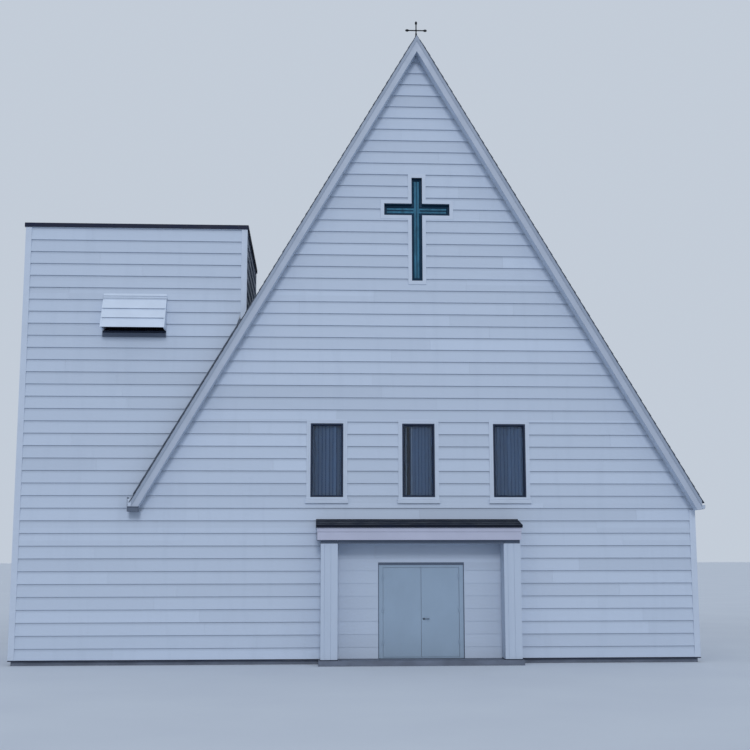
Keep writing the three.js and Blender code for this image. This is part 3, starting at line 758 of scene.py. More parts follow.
def front_openings(sizes):
    """What the front's boards stop at: windows, bell opening, portal and cross, as (u0, u1, z0, z1)."""
    pier = span("portal_pier_right")[1][0]
    (canopy_low, canopy_high), (roof_low, roof_high) = span("portal_canopy"), span("portal_roof")
    cross = cross_outline(sizes.cross_casing, CROSS_FLANGE)
    bell_foot = BELL_FOOT - SILL_SHADE - SILL_FLASHING
    return [
        *window_openings(sizes, "front"),
        (LOUVRE_LOW[0], LOUVRE_HIGH[0], bell_foot, LOUVRE_HIGH[2] + HEAD_BOARD),
        (-pier, pier, PLINTH, canopy_low[2]),
        (canopy_low[0], canopy_high[0], canopy_low[2], canopy_high[2]),
        (roof_low[0], roof_high[0], roof_low[2], roof_high[2]),
        (cross[0, 0], cross[1, 0], cross[0, 1], cross[6, 1]),
        (-cross[3, 0], cross[3, 0], cross[3, 1], cross[4, 1]),
    ]


class CHURCH_OT_weatherboards(bpy.types.Operator):
    """Clads every wall in lapped boards, cut to the roof slopes and round the openings"""

    bl_idname = "church.weatherboards"
    bl_label = "Weatherboards"

    def execute(self, context):
        sizes = context.scene.church_sizes
        corner = sizes.corner_width
        low, tower_top, gable = PLINTH + 0.004, TOWER_HIGH[2], RIDGE - ROOF_DROP
        tower_left, left_end, right_end = TOWER_LOW[0] + corner, -HALF + corner, HALF - corner
        gable_half = rake_half(gable, 0.0, HALF)
        under_ridge = (SOFFIT, gable - 0.03, minus(gable_half), gable_half)
        # Beside the tower the boards stop on the slates, 85 mm above the boarding and square to it
        slates = RIDGE + 0.085 / math.cos(PITCH)
        beside = rake_half(slates, TOWER_IN + corner, EAVE + 0.01)
        kinks = (slates - SLOPE * TOWER_IN, slates - SLOPE * EAVE)
        over_roof = RIDGE - SLOPE * TOWER_IN + 0.16

        front = [(low, SOFFIT, tower_left, right_end),
                 (SOFFIT, tower_top, tower_left, minus(beside), *kinks), under_ridge]
        tower_rear = [(low, SOFFIT, HALF + 0.001, -tower_left),
                      (SOFFIT, tower_top, beside, -tower_left, *kinks)]
        walls = {
            "front": (FRONT_WALL, front, front_openings(sizes)),
            "rear": (REAR_WALL, [(low, SOFFIT, left_end, right_end), under_ridge],
                     window_openings(sizes, "rear")),
            "right": (RIGHT_WALL, [(low, SOFFIT, FRONT + corner, REAR - corner)],
                      window_openings(sizes, "right")),
            "left": (LEFT_WALL, [(low, SOFFIT, -REAR + corner, -TOWER_REAR - 0.001)],
                     window_openings(sizes, "left")),
            "tower_left": (TOWER_LEFT, [(low, tower_top, -TOWER_REAR + corner, -FRONT - corner)], []),
            "tower_rear": (TOWER_BACK, tower_rear, []),
            "tower_right": (TOWER_RIGHT, [(over_roof, tower_top, FRONT + corner, TOWER_REAR - corner)], []),
        }
        for seed, (name, (wall, fields, openings)) in enumerate(walls.items()):
            shape = weatherboards(sizes, wall, fields, openings, seed, sizes.board_foot)
            build(f"weatherboards_{name}", shape, "lapped")

        pier, (door_low, door_high) = span("portal_pier_right")[0][0], span("door_frame")
        recess = (low, span("portal_canopy")[0][2], -pier, pier)
        doorway = (door_low[0], door_high[0], PLINTH, door_high[2])
        shape = weatherboards(sizes, FRONT_WALL, [recess], [doorway], len(walls), sizes.recess_foot)
        build("weatherboards_portal", shape, "boards")
        return {"FINISHED"}


def base_drip(proud):
    """A folded drip along the foot of the cladding: flat under the boards, turned down at its edge."""
    pier, door = span("portal_pier_right"), span("door_frame")
    legs = [
        (FRONT_WALL, TOWER_LOW[0] - proud, -pier[1][0]), (FRONT_WALL, pier[1][0], HALF + proud),
        (FRONT_WALL, -pier[0][0], door[0][0]), (FRONT_WALL, door[1][0], pier[0][0]),
        (RIGHT_WALL, FRONT - proud, REAR + proud), (REAR_WALL, -HALF - proud, HALF + proud),
        (LEFT_WALL, -REAR - proud, -TOWER_REAR), (TOWER_BACK, HALF, -TOWER_LOW[0] + proud),
        (TOWER_LEFT, -TOWER_REAR - proud, -FRONT + proud),
    ]
    profile = np.array([(-0.02, 0.0006), (proud, -0.004), (proud + 0.006, -0.02), (proud + 0.003, -0.02),
                        (proud - 0.003, -0.007), (-0.02, -0.0026)]) + (0, PLINTH)
    return together([run(wall, profile, u0, u1) for wall, u0, u1 in legs])


class CHURCH_OT_corner_boards(bpy.types.Operator):
    """Sets corner boards at every outer corner, and a drip flashing along the foot of the cladding"""

    bl_idname = "church.corner_boards"
    bl_label = "Corner boards"

    def execute(self, context):
        sizes = context.scene.church_sizes
        wide, proud = sizes.corner_width, sizes.corner_thickness
        nave = (PLINTH + 0.002, SOFFIT - 0.002)
        tower = (PLINTH + 0.002, TOWER_HIGH[2] - 0.001)
        over_roof = (RIDGE - SLOPE * TOWER_IN, TOWER_HIGH[2] - 0.001)
        corners = [
            (HALF, FRONT, 1, -1, nave), (HALF, REAR, 1, 1, nave), (-HALF, REAR, -1, 1, nave),
            (TOWER_LOW[0], FRONT, -1, -1, tower), (TOWER_LOW[0], TOWER_REAR, -1, 1, tower),
            (-TOWER_IN, FRONT, 1, -1, over_roof), (-TOWER_IN, TOWER_REAR, 1, 1, over_roof),
        ]
        # Seen from above, an L: out past the corner on both faces, back along each for the board's width
        plan = np.array([[proud, proud], [-wide, proud], [-wide, 0], [0, 0], [0, -wide], [proud, -wide]])
        shapes = [upright(plan * (out_x, out_y) + (x, y), *ends) for x, y, out_x, out_y, ends in corners]
        build("corner_boards", together(shapes), "trim", bevel=0.003)
        build("base_drip", base_drip(proud), "metal")
        return {"FINISHED"}


# Roof

def slate_courses(sizes, side, regions, seed):
    """Slates laid in half bond. regions are (first s, last s, y0, y1) on the slope.

    Course n has its foot at the eaves less n exposures. A slate is a thin slab: its head lies on the
    boarding, the slate under it lifts its foot, and its foot and tone wander a little.
    """
    rng = np.random.default_rng(seed)
    step, wide, thick = sizes.slate_exposure, sizes.slate_width, sizes.slate_thickness
    last = (EAVE + 0.03) / math.cos(PITCH)
    courses = int(last / step)
    foot = last - step * np.arange(courses)
    columns = int((VERGE_REAR - VERGE_FRONT) / wide) + 3
    bond = wide / 2 * (np.arange(courses)[:, None] % 2)
    start = VERGE_FRONT - wide + wide * np.arange(columns)[None] + bond
    tone = np.clip(rng.normal(0.45, 0.2, start.shape), 0, 1)
    wander = rng.normal(0, 0.0025, start.shape)
    lift = rng.normal(thick + 0.001, 0.0012, start.shape)
    half_gap, narrowest, lap = 0.0015, 0.02, 0.05
    shapes = []
    for s0, s1, y0, y1 in regions:
        a = np.clip(start + half_gap, y0, y1)
        b = np.clip(start + wide - half_gap, y0, y1)
        keep = (b - a > narrowest) & ((foot > s0) & (foot <= s1))[:, None]
        y = np.stack([a[keep], b[keep], b[keep], a[keep]], 1)
        s = (foot[:, None] + wander)[keep]
        head = np.maximum(s - step - lap, 0.02)
        raised = lift[keep]
        rings = [
            on_slope(side, s[:, None], y, np.stack([raised, raised, raised + thick, raised + thick], 1)),
            on_slope(side, head[:, None], y, np.array([0.0, 0.0, thick, thick]) + CLEAR),
        ]
        shapes.append(lofts(np.stack(rings, 1), tone=tone[keep]))
    return together(shapes)


class CHURCH_OT_slates(bpy.types.Operator):
    """Lays the slates on both slopes of the nave roof and on the verge in front of the tower"""

    bl_idname = "church.slates"
    bl_label = "Slates"

    def execute(self, context):
        sizes = context.scene.church_sizes
        ridge, overhang = 0.1, 0.045
        y0, y1 = VERGE_FRONT - overhang, VERGE_REAR + overhang
        past_eaves, beside = EAVE / math.cos(PITCH) + 1, TOWER_IN / math.cos(PITCH)
        build("slates_right", slate_courses(sizes, 1, [(ridge, past_eaves, y0, y1)], 11), "slate")
        regions = [(ridge, beside, y0, y1), (beside, past_eaves, TOWER_REAR + 0.03, y1),
                   (beside, past_eaves, y0, FRONT - 0.03)]
        build("slates_left", slate_courses(sizes, -1, regions, 12), "slate")
        return {"FINISHED"}


def verge_trims(turned_down):
    """Steel over the slates' edge and down the bargeboard, with a small kick outwards."""
    barge = VERGE_FRONT - span("bargeboard_front_left")[0][1]
    shapes = []
    for wall, past in ((FRONT_WALL, FRONT - VERGE_FRONT + barge), (REAR_WALL, VERGE_REAR - REAR + barge)):
        face, drop, back, thick = past + 0.003, -turned_down, past - 0.03, 0.003
        profile = [(0.001, back), (0.001, face), (drop, face), (drop - 0.004, face + 0.006),
                   (drop - 0.001, face + 0.007), (drop + 0.002, face + thick), (0.004, face + thick),
                   (0.004, back)]
        shapes.append(along_rakes(wall, profile))
    return together(shapes)


def soffit_panels():
    """Thin panels under the verges, and level ones under the eaves, which run on under the verges.

    They reach from the cladding to the back of the bargeboards, and meet where the slope comes down to them.
    """
    clad, thick, seat = 0.034, 0.004, 0.0006
    under = -ROOF_DROP * math.cos(PITCH)
    level = (RIDGE - ROOF_DROP - SOFFIT) / SLOPE
    outs = ((FRONT_WALL, FRONT - VERGE_FRONT - 0.001), (REAR_WALL, VERGE_REAR - REAR - 0.001))
    low, high = under - thick - CLEAR, under - CLEAR
    verges = [along_rakes(wall, [(low, clad), (low, out), (high, out), (high, clad)], level)
              for wall, out in outs]
    places = []
    for side, start in ((1, FRONT), (-1, TOWER_REAR + clad)):
        for x, y0, y1 in ((HALF + clad, start, REAR), (level, VERGE_FRONT + 0.001, FRONT - clad),
                          (level, REAR + clad, VERGE_REAR - 0.001)):
            places.append([*sorted((side * x, side * (EAVE - 0.001))), y0, y1])
    x0, x1, y0, y1 = np.transpose(places)
    return together(verges), blocks([x0, y0, SOFFIT - seat - thick], [x1, y1, SOFFIT - seat])


def ridge_straps(spacing=1.3, wide=0.05, thick=0.008):
    """Straps folded over the ridge cap, a spacing apart."""
    low, high = span("ridge_cap")
    places = np.arange(low[1] + 0.35, high[1] - 0.1, spacing)
    half, top = high[0] + 0.006, high[2] + 0.001
    edge = top - SLOPE * half
    outline = [(-half, edge), (0, top), (half, edge), (half, edge + thick), (0, top + thick),
               (-half, edge + thick)]
    return run_back(outline, places, places + wide)


def roof_flashings(slate_top):
    """Where the left slope meets the tower: on its right wall, behind it, and on the verge in front of it.

    On the right wall an apron lies on the slates and a turned-up edge stands on the wall. The other two run
    down the slope, with one strip on the wall and one on the slates.
    """
    s = TOWER_IN / math.cos(PITCH)
    past, apron_wide, thick = 0.02, 0.28, 0.003
    ends = (FRONT - past, TOWER_REAR + past)
    across = np.array([s - apron_wide, s - 0.004, s - 0.004, s - apron_wide])
    up = np.array([0, 0, thick, thick])
    apron = lofts([on_slope(-1, across, y, slate_top + up) for y in ends])
    rise = slate_top / math.cos(PITCH)
    foot = RIDGE - SLOPE * TOWER_IN + rise
    upstand = bars(TOWER_RIGHT, *ends, 0.001, 0.006, foot - 0.06, foot + 0.13)
    line = np.array([TOWER_IN + 0.002, EAVE + 0.02])
    lower = RIDGE - SLOPE * line + rise
    pairs = []
    for wall, turn in ((TOWER_BACK, 1), (FRONT_WALL, -1)):
        pairs.append([
            lofts([wall.at(turn * u, np.array([w0, w1, w1, w0]), z + np.array([z0, z0, z1, z1]))
                   for u, z in zip(line, lower)])
            for w0, w1, z0, z1 in ((0.001, 0.005, -0.02, 0.17), (0.001, 0.11, 0.002, 0.009))])
    return together([apron, upstand, *pairs[0]]), together(pairs[1])


def build_verge_box():
    """Where the left verge ends in front of the tower: a painted box with a metal side and sill."""
    low = span("bargeboard_front_left")[0]
    x0, x1, x2 = -EAVE - 0.078, -EAVE - 0.001, -EAVE + 0.17
    y0, y1 = low[1] - 0.004, FRONT - 0.04
    foot, sill, top = low[2] - 0.055, low[2] + 0.055, low[2] + 0.25
    build("verge_box", blocks([x0, y0 + 0.006, sill], [x1, y1, top - 0.03]), "trim", bevel=0.004)
    metal = [blocks([x0 - 0.007, y0, foot], [x0 - 0.001, y1, top]),
             blocks([x0, y0 - 0.004, foot], [x2, y0, sill]), blocks([x0, y0, foot], [x2, y1, foot + 0.004])]
    build("verge_box_sill", together(metal), "grey_metal_and_shade")
    bead = tube([(x, y0 - 0.008, sill - 0.012) for x in (x0, x2)], 0.012, (0, 1, 0), 10)
    build("verge_box_bead", bead, "grey_metal_and_shade", smooth=40)


class CHURCH_OT_roof_metal(bpy.types.Operator):
    """Folds verge trims, ridge straps and flashings, panels verges and eaves and boxes the left foot"""

    bl_idname = "church.roof_metal"
    bl_label = "Roof metal"

    def execute(self, context):
        sizes = context.scene.church_sizes
        build("verge_trims", verge_trims(sizes.verge_trim), "verge_metal")
        verges, eaves = soffit_panels()
        build("verge_soffits", verges, "soffit")
        build("eave_soffits", eaves, "soffit")
        build("ridge_straps", ridge_straps(), "metal")
        tower, verge = roof_flashings(2 * sizes.slate_thickness)
        build("tower_flashings", tower, "metal")
        build("verge_flashings", verge, "grey_metal_and_shade")
        build_verge_box()
        return {"FINISHED"}


def gutter_outlines(width):
    """Outlines of a trough, its end discs and its brackets, as x out from the back and z from the top.

    The bottom is half a circle, angle pi to 2 pi. A trough's back is upright, its front has a rolled lip,
    and then the same line returns inside it.
    """
    r, bead, thick, straight = width / 2, 0.006, 0.003, 0.055
    turn = np.linspace(np.pi, 2 * np.pi, 9)

    def bottom(radius):
        return np.column_stack([r + radius * np.cos(turn), radius * np.sin(turn) - straight])

    lip = [(width, -0.014), (width + bead, -0.012), (width + bead, -0.002), (width - bead, 0.0),
           (width - bead, -0.006), (width - thick, -0.012)]
    trough = np.array([(0.0, 0.004), *bottom(r), *lip, *bottom(r - thick)[::-1], (thick, 0.004)])
    disc = np.array([(thick / 2, 0.0), *bottom(r), (width - thick / 2, -0.006)])
    strap = np.concatenate([bottom(r + 0.004), bottom(r + CLEAR)[::-1]])
    return trough, disc, strap


def downpipe(side, outlet, y, top, radius=0.031, from_wall=0.062, clips=(0.55, 1.5, 2.5)):
    """A pipe out of the gutter, back to the wall and down to a shoe that throws clear, with clips."""
    wall_x = side * (HALF + from_wall)
    start, neck, turn_in = (outlet, y, top - 0.05), (outlet, y, top - 0.2), (wall_x, y, top - 0.38)
    low_point, toe = (wall_x, y, 0.2), (side * (HALF + 0.16), y, 0.11)
    path = np.concatenate([[start], bend(start, neck, turn_in, 0.06), bend(neck, turn_in, low_point, 0.06),
                           bend(turn_in, low_point, toe, 0.05), [toe]])
    shapes = [tube(path, radius, (0, 1, 0), 20)]
    x0, x1 = sorted((side * HALF, wall_x))
    clip_high, arm = 0.03, 0.012
    for z in clips:
        ring = [(wall_x, y, z), (wall_x, y, z + clip_high)]
        shapes.append(tube(ring, radius + 0.0035, (0, 1, 0), 20))
        shapes.append(blocks([x0, y - arm, z + 0.006], [x1, y + arm, z + 0.022]))
    return together(shapes)


class CHURCH_OT_gutters(bpy.types.Operator):
    """Rolls the gutters with their brackets and runs a downpipe to the ground at each rear corner"""

    bl_idname = "church.gutters"
    bl_label = "Gutters"

    def execute(self, context):
        spacing, bracket_wide, end_thick = context.scene.church_sizes.bracket_spacing, 0.028, 0.004
        for hand, side in HANDS:
            low, high = span(f"gutter_{hand}")
            width, back = high[0] - low[0], min(abs(low[0]), abs(high[0]))
            trough, disc, strap = (outline * (side, 1) + (side * back, high[2])
                                   for outline in gutter_outlines(width))
            ends = np.array([low[1], high[1] - end_thick])
            shape = together([run_back(trough, low[1], high[1]), run_back(disc, ends, ends + end_thick)])
            build(f"gutter_trough_{hand}", shape, "rainwater", replaces=[f"gutter_{hand}"], smooth=35)
            places = np.arange(low[1] + 0.3, high[1] - 0.1, spacing)
            build(f"gutter_brackets_{hand}", run_back(strap, places, places + bracket_wide), "rainwater")
            pipe = downpipe(side, side * (back + width / 2), high[1] - 0.52, high[2])
            build(f"downpipe_{hand}", pipe, "rainwater", smooth=40)
        return {"FINISHED"}


class CHURCH_OT_tower_roof(bpy.types.Operator):
    """Lays lapped roofing felt on the tower, inside a low kerb of folded metal"""

    bl_idname = "church.tower_roof"
    bl_label = "Tower roof"

    def execute(self, context):
        low, high = span("tower_roof")
        edge, lap, thick, sheets = 0.06, 0.04, 0.004, 5
        wide, over = (high[0] - low[0] - 2 * edge) / sheets, np.arange(sheets) % 2
        x = low[0] + edge + wide * np.arange(sheets)
        foot = high[2] + thick * over
        felt = blocks([x - lap * over, low[1] + edge, foot],
                      [x + wide + lap * over, high[1] - edge, foot + thick])
        build("tower_felt", felt, "metal")
        section = ((0.0, -0.001), (0.0, 0.004), (edge, 0.006), (edge, -0.001))
        corners = ((low[0], low[1], 1, 1), (high[0], low[1], -1, 1), (high[0], high[1], -1, -1),
                   (low[0], high[1], 1, -1))
        rings = [[(x + d * in_x, y + d * in_y, high[2] + z) for d, z in section]
                 for x, y, in_x, in_y in corners]
        build("tower_edge_kerb", lofts(rings, closed=True), "metal")
        return {"FINISHED"}


# Windows and doors

# Height of the inner sill board over the frame's foot
INNER_SILL = 0.03
# The frame's own window pieces that each wall's frames and panes stand in for
STANDS_IN = {
    "front": ([f"window_frame_{hand}" for hand in ("left", "middle", "right")],
              [f"window_glass_{hand}" for hand in ("left", "middle", "right")]),
    "rear": (["windows_rear"], []), "right": (["windows_right"], []), "left": (["windows_left"], []),
}


def frame_parts(wall, u, foot):
    """A window's frame round the glass with its inner corner eased, and the inner sill board below it."""
    below = foot - FRAME_WIDTH
    profile = [(0.0, FRAME_BACK), (FRAME_WIDTH - CLEAR, FRAME_BACK), (FRAME_WIDTH - CLEAR, -FRAME_W),
               (0.006, -FRAME_W), (0.0, -FRAME_W - 0.006)]
    half = FRAME_HALF - 0.001
    return [surround(wall, rectangle(u, foot, PANE_HALF, PANE_HEIGHT), profile),
            bars(wall, u - half, u + half, -WALL_THICKNESS - 0.06, FRAME_BACK + 0.001,
                 below + 0.001, below + INNER_SILL)]


def sash(wall, u, foot, wide):
    """The dark sash inside the frame, in front of the glass, with a bevel towards it."""
    edge, front = -0.0008, -FRAME_W - 0.006
    profile = [(-wide, PANE_W0 - 0.002), (edge, PANE_W0 - 0.002), (edge, front), (-wide + 0.012, front),
               (-wide, front - 0.012)]
    return surround(wall, rectangle(u, foot, PANE_HALF, PANE_HEIGHT), profile)


def casing_parts(wall, u, foot, wide, sill):
    """Flat boards round the frame, and an outer sill below with a drip groove under its nose."""
    proud, below = 0.034, foot - FRAME_WIDTH
    outer = rectangle(u, below, FRAME_HALF, PANE_HEIGHT + 2 * FRAME_WIDTH)
    nose = [(-FRAME_W, below), (0.062, below - 0.01), (0.066, below - 0.016), (0.066, below - sill),
            (0.058, below - sill), (0.054, below - sill + 0.008), (0.05, below - sill), (0.0, below - sill)]
    ends = FRAME_HALF + wide + 0.02
    return [surround(wall, outer, [(0.0, 0.0), (wide, 0.0), (wide, proud), (0.0, proud)]),
            run(wall, nose, u - ends, u + ends)]


class CHURCH_OT_windows(bpy.types.Operator):
    """Makes frames, sashes, panes, casings and sills for every window"""

    bl_idname = "church.windows"
    bl_label = "Windows"

    def execute(self, context):
        sizes, loose = context.scene.church_sizes, 0.0003
        for name, (wall, places, foot) in WINDOWS.items():
            frames, panes, sashes, casings = [], [], [], []
            half, seat, head = PANE_HALF - loose, foot + loose, foot + PANE_HEIGHT - loose
            for u in places:
                frames += frame_parts(wall, u, foot)
                sashes.append(sash(wall, u, foot, sizes.sash_width))
                panes.append(bars(wall, u - half, u + half, PANE_W0, PANE_W1, seat, head))
                casings += casing_parts(wall, u, foot, sizes.casing_width, sizes.sill_height)
            if name != "front":
                # One ledge joins a row's inner sills
                ledge, below, inside = FRAME_HALF + 0.06, foot - FRAME_WIDTH, -WALL_THICKNESS - loose
                frames.append(bars(wall, min(places) - ledge, max(places) + ledge, inside - 0.06, inside,
                                   below + 0.001, below + INNER_SILL))
            frame_nodes, glass_nodes = STANDS_IN[name]
            build(f"window_frames_{name}", together(frames), "trim", replaces=frame_nodes, bevel=0.002)
            build(f"window_sashes_{name}", together(sashes), "sash")
            build(f"window_panes_{name}", together(panes), "pane", replaces=glass_nodes)
            build(f"window_casings_{name}", together(casings), "trim", bevel=0.003)
        return {"FINISHED"}


# Upright blinds of the front windows: each slat's place across the pane, its turn in degrees and its tone
CLOSED = np.linspace(-0.318, 0.318, 9)
BLINDS = [
    (CLOSED, np.full(9, 9.0), [0.2, 0.35, 0.45, 0.5, 0.8, 0.55, 1.0, 0.35, 0.55]),
    ([-0.28, -0.16, *np.linspace(-0.12, 0.32, 7)], [68, 64, 9, 8, 10, 7, 9, 8, 40],
     [1.0, 1.0, 0.6, 0.7, 0.6, 0.65, 0.6, 0.5, 0.9]),
    (CLOSED, np.full(9, 6.0), [0.1, 0.4, 0.45, 0.4, 0.75, 0.7, 0.7, 0.95, 0.5]),
]


class CHURCH_OT_blinds(bpy.types.Operator):
    """Hangs upright slat blinds behind the three front windows, and a dark panel behind each blind that
    paints the shade of the unlit inside
    """

    bl_idname = "church.blinds"
    bl_label = "Blinds"

    def execute(self, context):
        wide, rise, thick = context.scene.church_sizes.blind_slat, 0.006, 0.0012
        middle, rail, head = FRAME_BACK - 0.05, 0.02, FRONT_FOOT + PANE_HEIGHT
        # Across, a slat is a shallow arc of 5 points and the same arc a slat's thickness behind it
        t = np.linspace(-1, 1, 5)
        arc = np.concatenate([np.column_stack([t * wide / 2, rise * (1 - t * t)]),
                              np.column_stack([t[::-1] * wide / 2, rise * (1 - t * t) - thick])])
        shapes = []
        for u, (across, turns, tones) in zip(FRONT_PLACES, BLINDS):
            turn = np.radians(turns)[:, None]
            along = u + np.array(across)[:, None] + (arc[:, 0] * np.cos(turn) - arc[:, 1] * np.sin(turn))
            out = middle + (arc[:, 0] * np.sin(turn) + arc[:, 1] * np.cos(turn))
            rings = [FRONT_WALL.at(along, out, z) for z in (FRONT_FOOT + 0.03, head - 0.05)]
            shapes.append(lofts(np.stack(rings, 1), tone=np.array(tones)))
            shapes.append(bars(FRONT_WALL, u - PANE_HALF, u + PANE_HALF, middle - rail, middle + rail,
                               head - 0.05, head + 0.04))
        build("upright_blinds", together(shapes), "blind")
        # Dark panels behind the blinds are painted shade for the unlit inside
        inside = -WALL_THICKNESS - 0.03
        panels = bars(FRONT_WALL, FRONT_PLACES - FRAME_HALF, FRONT_PLACES + FRAME_HALF,
                      inside, inside + 0.006, FRONT_FOOT - 0.01, head + 0.04)
        build("blackout_panels", panels, "sash")
        return {"FINISHED"}


class CHURCH_OT_cross_window(bpy.types.Operator):
    """Sets casing, glazing bead, metal flange, reveal and glazing bars on the cross-shaped window"""

    bl_idname = "church.cross_window"
    bl_label = "Cross window"

    def execute(self, context):
        wide, proud = context.scene.church_sizes.cross_casing, 0.032
        casing = surround(FRONT_WALL, cross_outline(0.0004, CROSS_FLANGE),
                          [(0.0, 0.0), (wide, 0.0), (wide, proud), (0.0, proud)])
        build("cross_casing", casing, "trim", bevel=0.003)
        frame_out = FRONT - span("cross_window_frame")[0][1]
        glass_out = FRONT - span("cross_window_glass")[0][1] + CLEAR
        inner, outer = cross_outline(), cross_outline(0.0, CROSS_FLANGE)
        bead_out = frame_out - 0.004
        bead = [(-0.062, glass_out), (-0.046, glass_out), (-0.046, bead_out), (-0.05, bead_out)]
        build("cross_glazing_bead", surround(FRONT_WALL, inner, bead), "cross_frame")

        # The flange lies on the wall under the stem and along both arms. A thin reveal lines the opening.
        bar, foot, arm, top = inner[1, 0], inner[0, 1], inner[3, 0], inner[6, 1]
        under, over = inner[3, 1], inner[4, 1]
        face, back = 0.006, frame_out + CLEAR
        reveal = [(-CLEAR, back), (-CLEAR, face), (-0.002, face), (-0.002, back)]
        flange = [surround(FRONT_WALL, inner, reveal),
                  bars(FRONT_WALL, -bar, bar, CLEAR, face, outer[0, 1], foot)]
        # A glazing bar runs up the stem and one along each arm, from the inner edge of the frame
        inset, middle, bar_front = 0.048, (under + over) / 2, glass_out - CLEAR + 0.012
        glazing = [bars(FRONT_WALL, -0.006, 0.006, glass_out, bar_front, foot + inset, top - inset)]
        for u0, u1, shift in ((-arm, -bar, inset), (bar, arm, -inset)):
            flange.append(bars(FRONT_WALL, u0, u1, CLEAR, face, outer[3, 1], under))
            flange.append(bars(FRONT_WALL, u0, u1, CLEAR, face, over, outer[4, 1]))
            glazing.append(bars(FRONT_WALL, u0 + shift, u1 + shift, glass_out, bar_front,
                                middle - 0.01, middle + 0.01))
        build("cross_flange", together(flange), "cross_frame")
        build("cross_glazing_bars", together(glazing), "cross_frame")
        return {"FINISHED"}


class CHURCH_OT_louvre(bpy.types.Operator):
    """Adds the sill, head boards, flashings and bird mesh of the bell opening, and a dark strip of painted
    shade at its foot
    """

    bl_idname = "church.louvre"
    bl_label = "Bell louvre"

    def execute(self, context):
        (left, _, _), (right, _, head) = LOUVRE_LOW, LOUVRE_HIGH
        sill, top = BELL_FOOT - SILL_SHADE, head + 0.001
        drop = sill - SILL_FLASHING
        profile = [(0.0, sill), (0.012, sill - 0.002), (0.04, sill - 0.012), (0.04, drop), (0.036, drop),
                   (0.0, drop + 0.002)]
        build("bell_sill_flashing", run(FRONT_WALL, profile, left, right), "grey_metal_and_shade")
        # A dark strip at the foot of the opening paints the shade under the louvre
        shade_strip = bars(FRONT_WALL, left, right, CLEAR, 0.006, sill + CLEAR, BELL_FOOT - CLEAR)
        build("bell_sill_fold", shade_strip, "sash")
        profile = [(0.0, top), (0.078, top), (0.078, top - 0.012), (0.082, top - 0.012),
                   (0.082, top + 0.006), (0.036, top + 0.02), (0.0, top + 0.02)]
        build("bell_head_flashing", run(FRONT_WALL, profile, left - 0.01, right + 0.01), "rainwater")
        split = top + HEAD_BOARD / 2
        rails = bars(FRONT_WALL, left + 0.001, right - 0.001, CLEAR, np.array([0.022, 0.036]),
                     np.array([top + 0.021, split]), np.array([split - 0.002, top + HEAD_BOARD - 0.003]))
        build("bell_head_boards", rails, "louvre", bevel=0.003)
        # Bird mesh: upright and level wires 50 mm apart behind the opening
        (u0, u1), top, spacing, half = BELL_SIDES, head - 0.06, 0.05, 0.0015
        across = np.arange(u0 + spacing / 2, u1, spacing)
        levels = np.arange(BELL_FOOT + spacing / 2, top, spacing)
        wires = [bars(FRONT_WALL, across - half, across + half, -0.06, -0.057, BELL_FOOT, top),
                 bars(FRONT_WALL, u0, u1, -0.057, -0.054, levels - half, levels + half)]
        build("bell_bird_mesh", together(wires), "metal")
        return {"FINISHED"}


def pier_plan(low, high, groove=0.006, seams=(0.22, 0.6)):
    """Plan of a boxed pier whose boards meet in V grooves: one in each side, and in front at the seams."""
    (x0, y0, _), (x1, y1, _) = low, high
    half, middle = groove / 2, (y0 + y1) / 2
    points = [(x0, y1), (x0, middle + half), (x0 + groove, middle), (x0, middle - half), (x0, y0)]
    for x in [x0 + seam * (x1 - x0) for seam in seams]:
        points += [(x - half, y0), (x, y0 + groove), (x + half, y0)]
    return points + [(x1, y0), (x1, middle - half), (x1 - groove, middle), (x1, middle + half), (x1, y1)]


def build_piers(gap):
    """Boarded piers in metal shoes, and over them a dark recessed strip under the fascia that paints its
    shade.
    """
    shoe, inset, necks = 0.018, 0.012, []
    for hand in ("left", "right"):
        low, high = span(f"portal_pier_{hand}")
        x0, y0, foot = low
        x1, y1, head = high
        boards = upright(pier_plan(low, high), foot + shoe, head - gap)
        build(f"pier_boards_{hand}", boards, "boards", replaces=[f"portal_pier_{hand}"])
        plate = blocks([x0 - 0.004, y0 - 0.004, foot], [x1 + 0.004, y1, foot + shoe])
        build(f"pier_shoe_{hand}", plate, "metal")
        necks.append(blocks([x0 + inset, y0 + inset, head - gap], [x1 - inset, y1, head]))
    # A rail joins the pier heads, from the inner face of the right pier to its mirror image
    rail = blocks([-x0, y0 + inset, head - gap], [x0, y0 + 0.06, head])
    # The necks and the rail are grey steel that paints the shade under the fascia
    build("portal_shadow_gap", together([*necks, rail]), "grey_metal_and_shade")


def build_canopy():
    """The canopy: a core, a fascia of two boards on its three free sides, and six planks underneath."""
    (x0, y0, foot), (x1, y1, head) = span("portal_canopy")
    inset, split, thick = 0.014, head - 0.1, 0.022
    shapes = [blocks([x0 + inset, y0 + inset, foot + 0.03], [x1 - inset, y1, head])]
    for z0, z1, back in ((foot, split - 0.006, 0.008), (split, head, 0.0)):
        a, b, front = x0 + back, x1 - back, y0 + back
        shapes.append(blocks([a, front, z0], [b, front + thick, z1]))
        shapes.append(blocks([[a, b - thick], front + thick, z0], [[a + thick, b], y1, z1]))
    build("canopy_boards", together(shapes), "fascia", replaces=["portal_canopy"], bevel=0.003)
    count, edge, joint = 6, 0.03, 0.006
    step = (y1 - y0 - edge) / count
    y = y0 + edge + step * np.arange(count)
    planks = blocks([x0 + edge, y, foot + 0.01], [x1 - edge, y + step - joint, foot + 0.03])
    build("canopy_soffit", planks, "soffit")


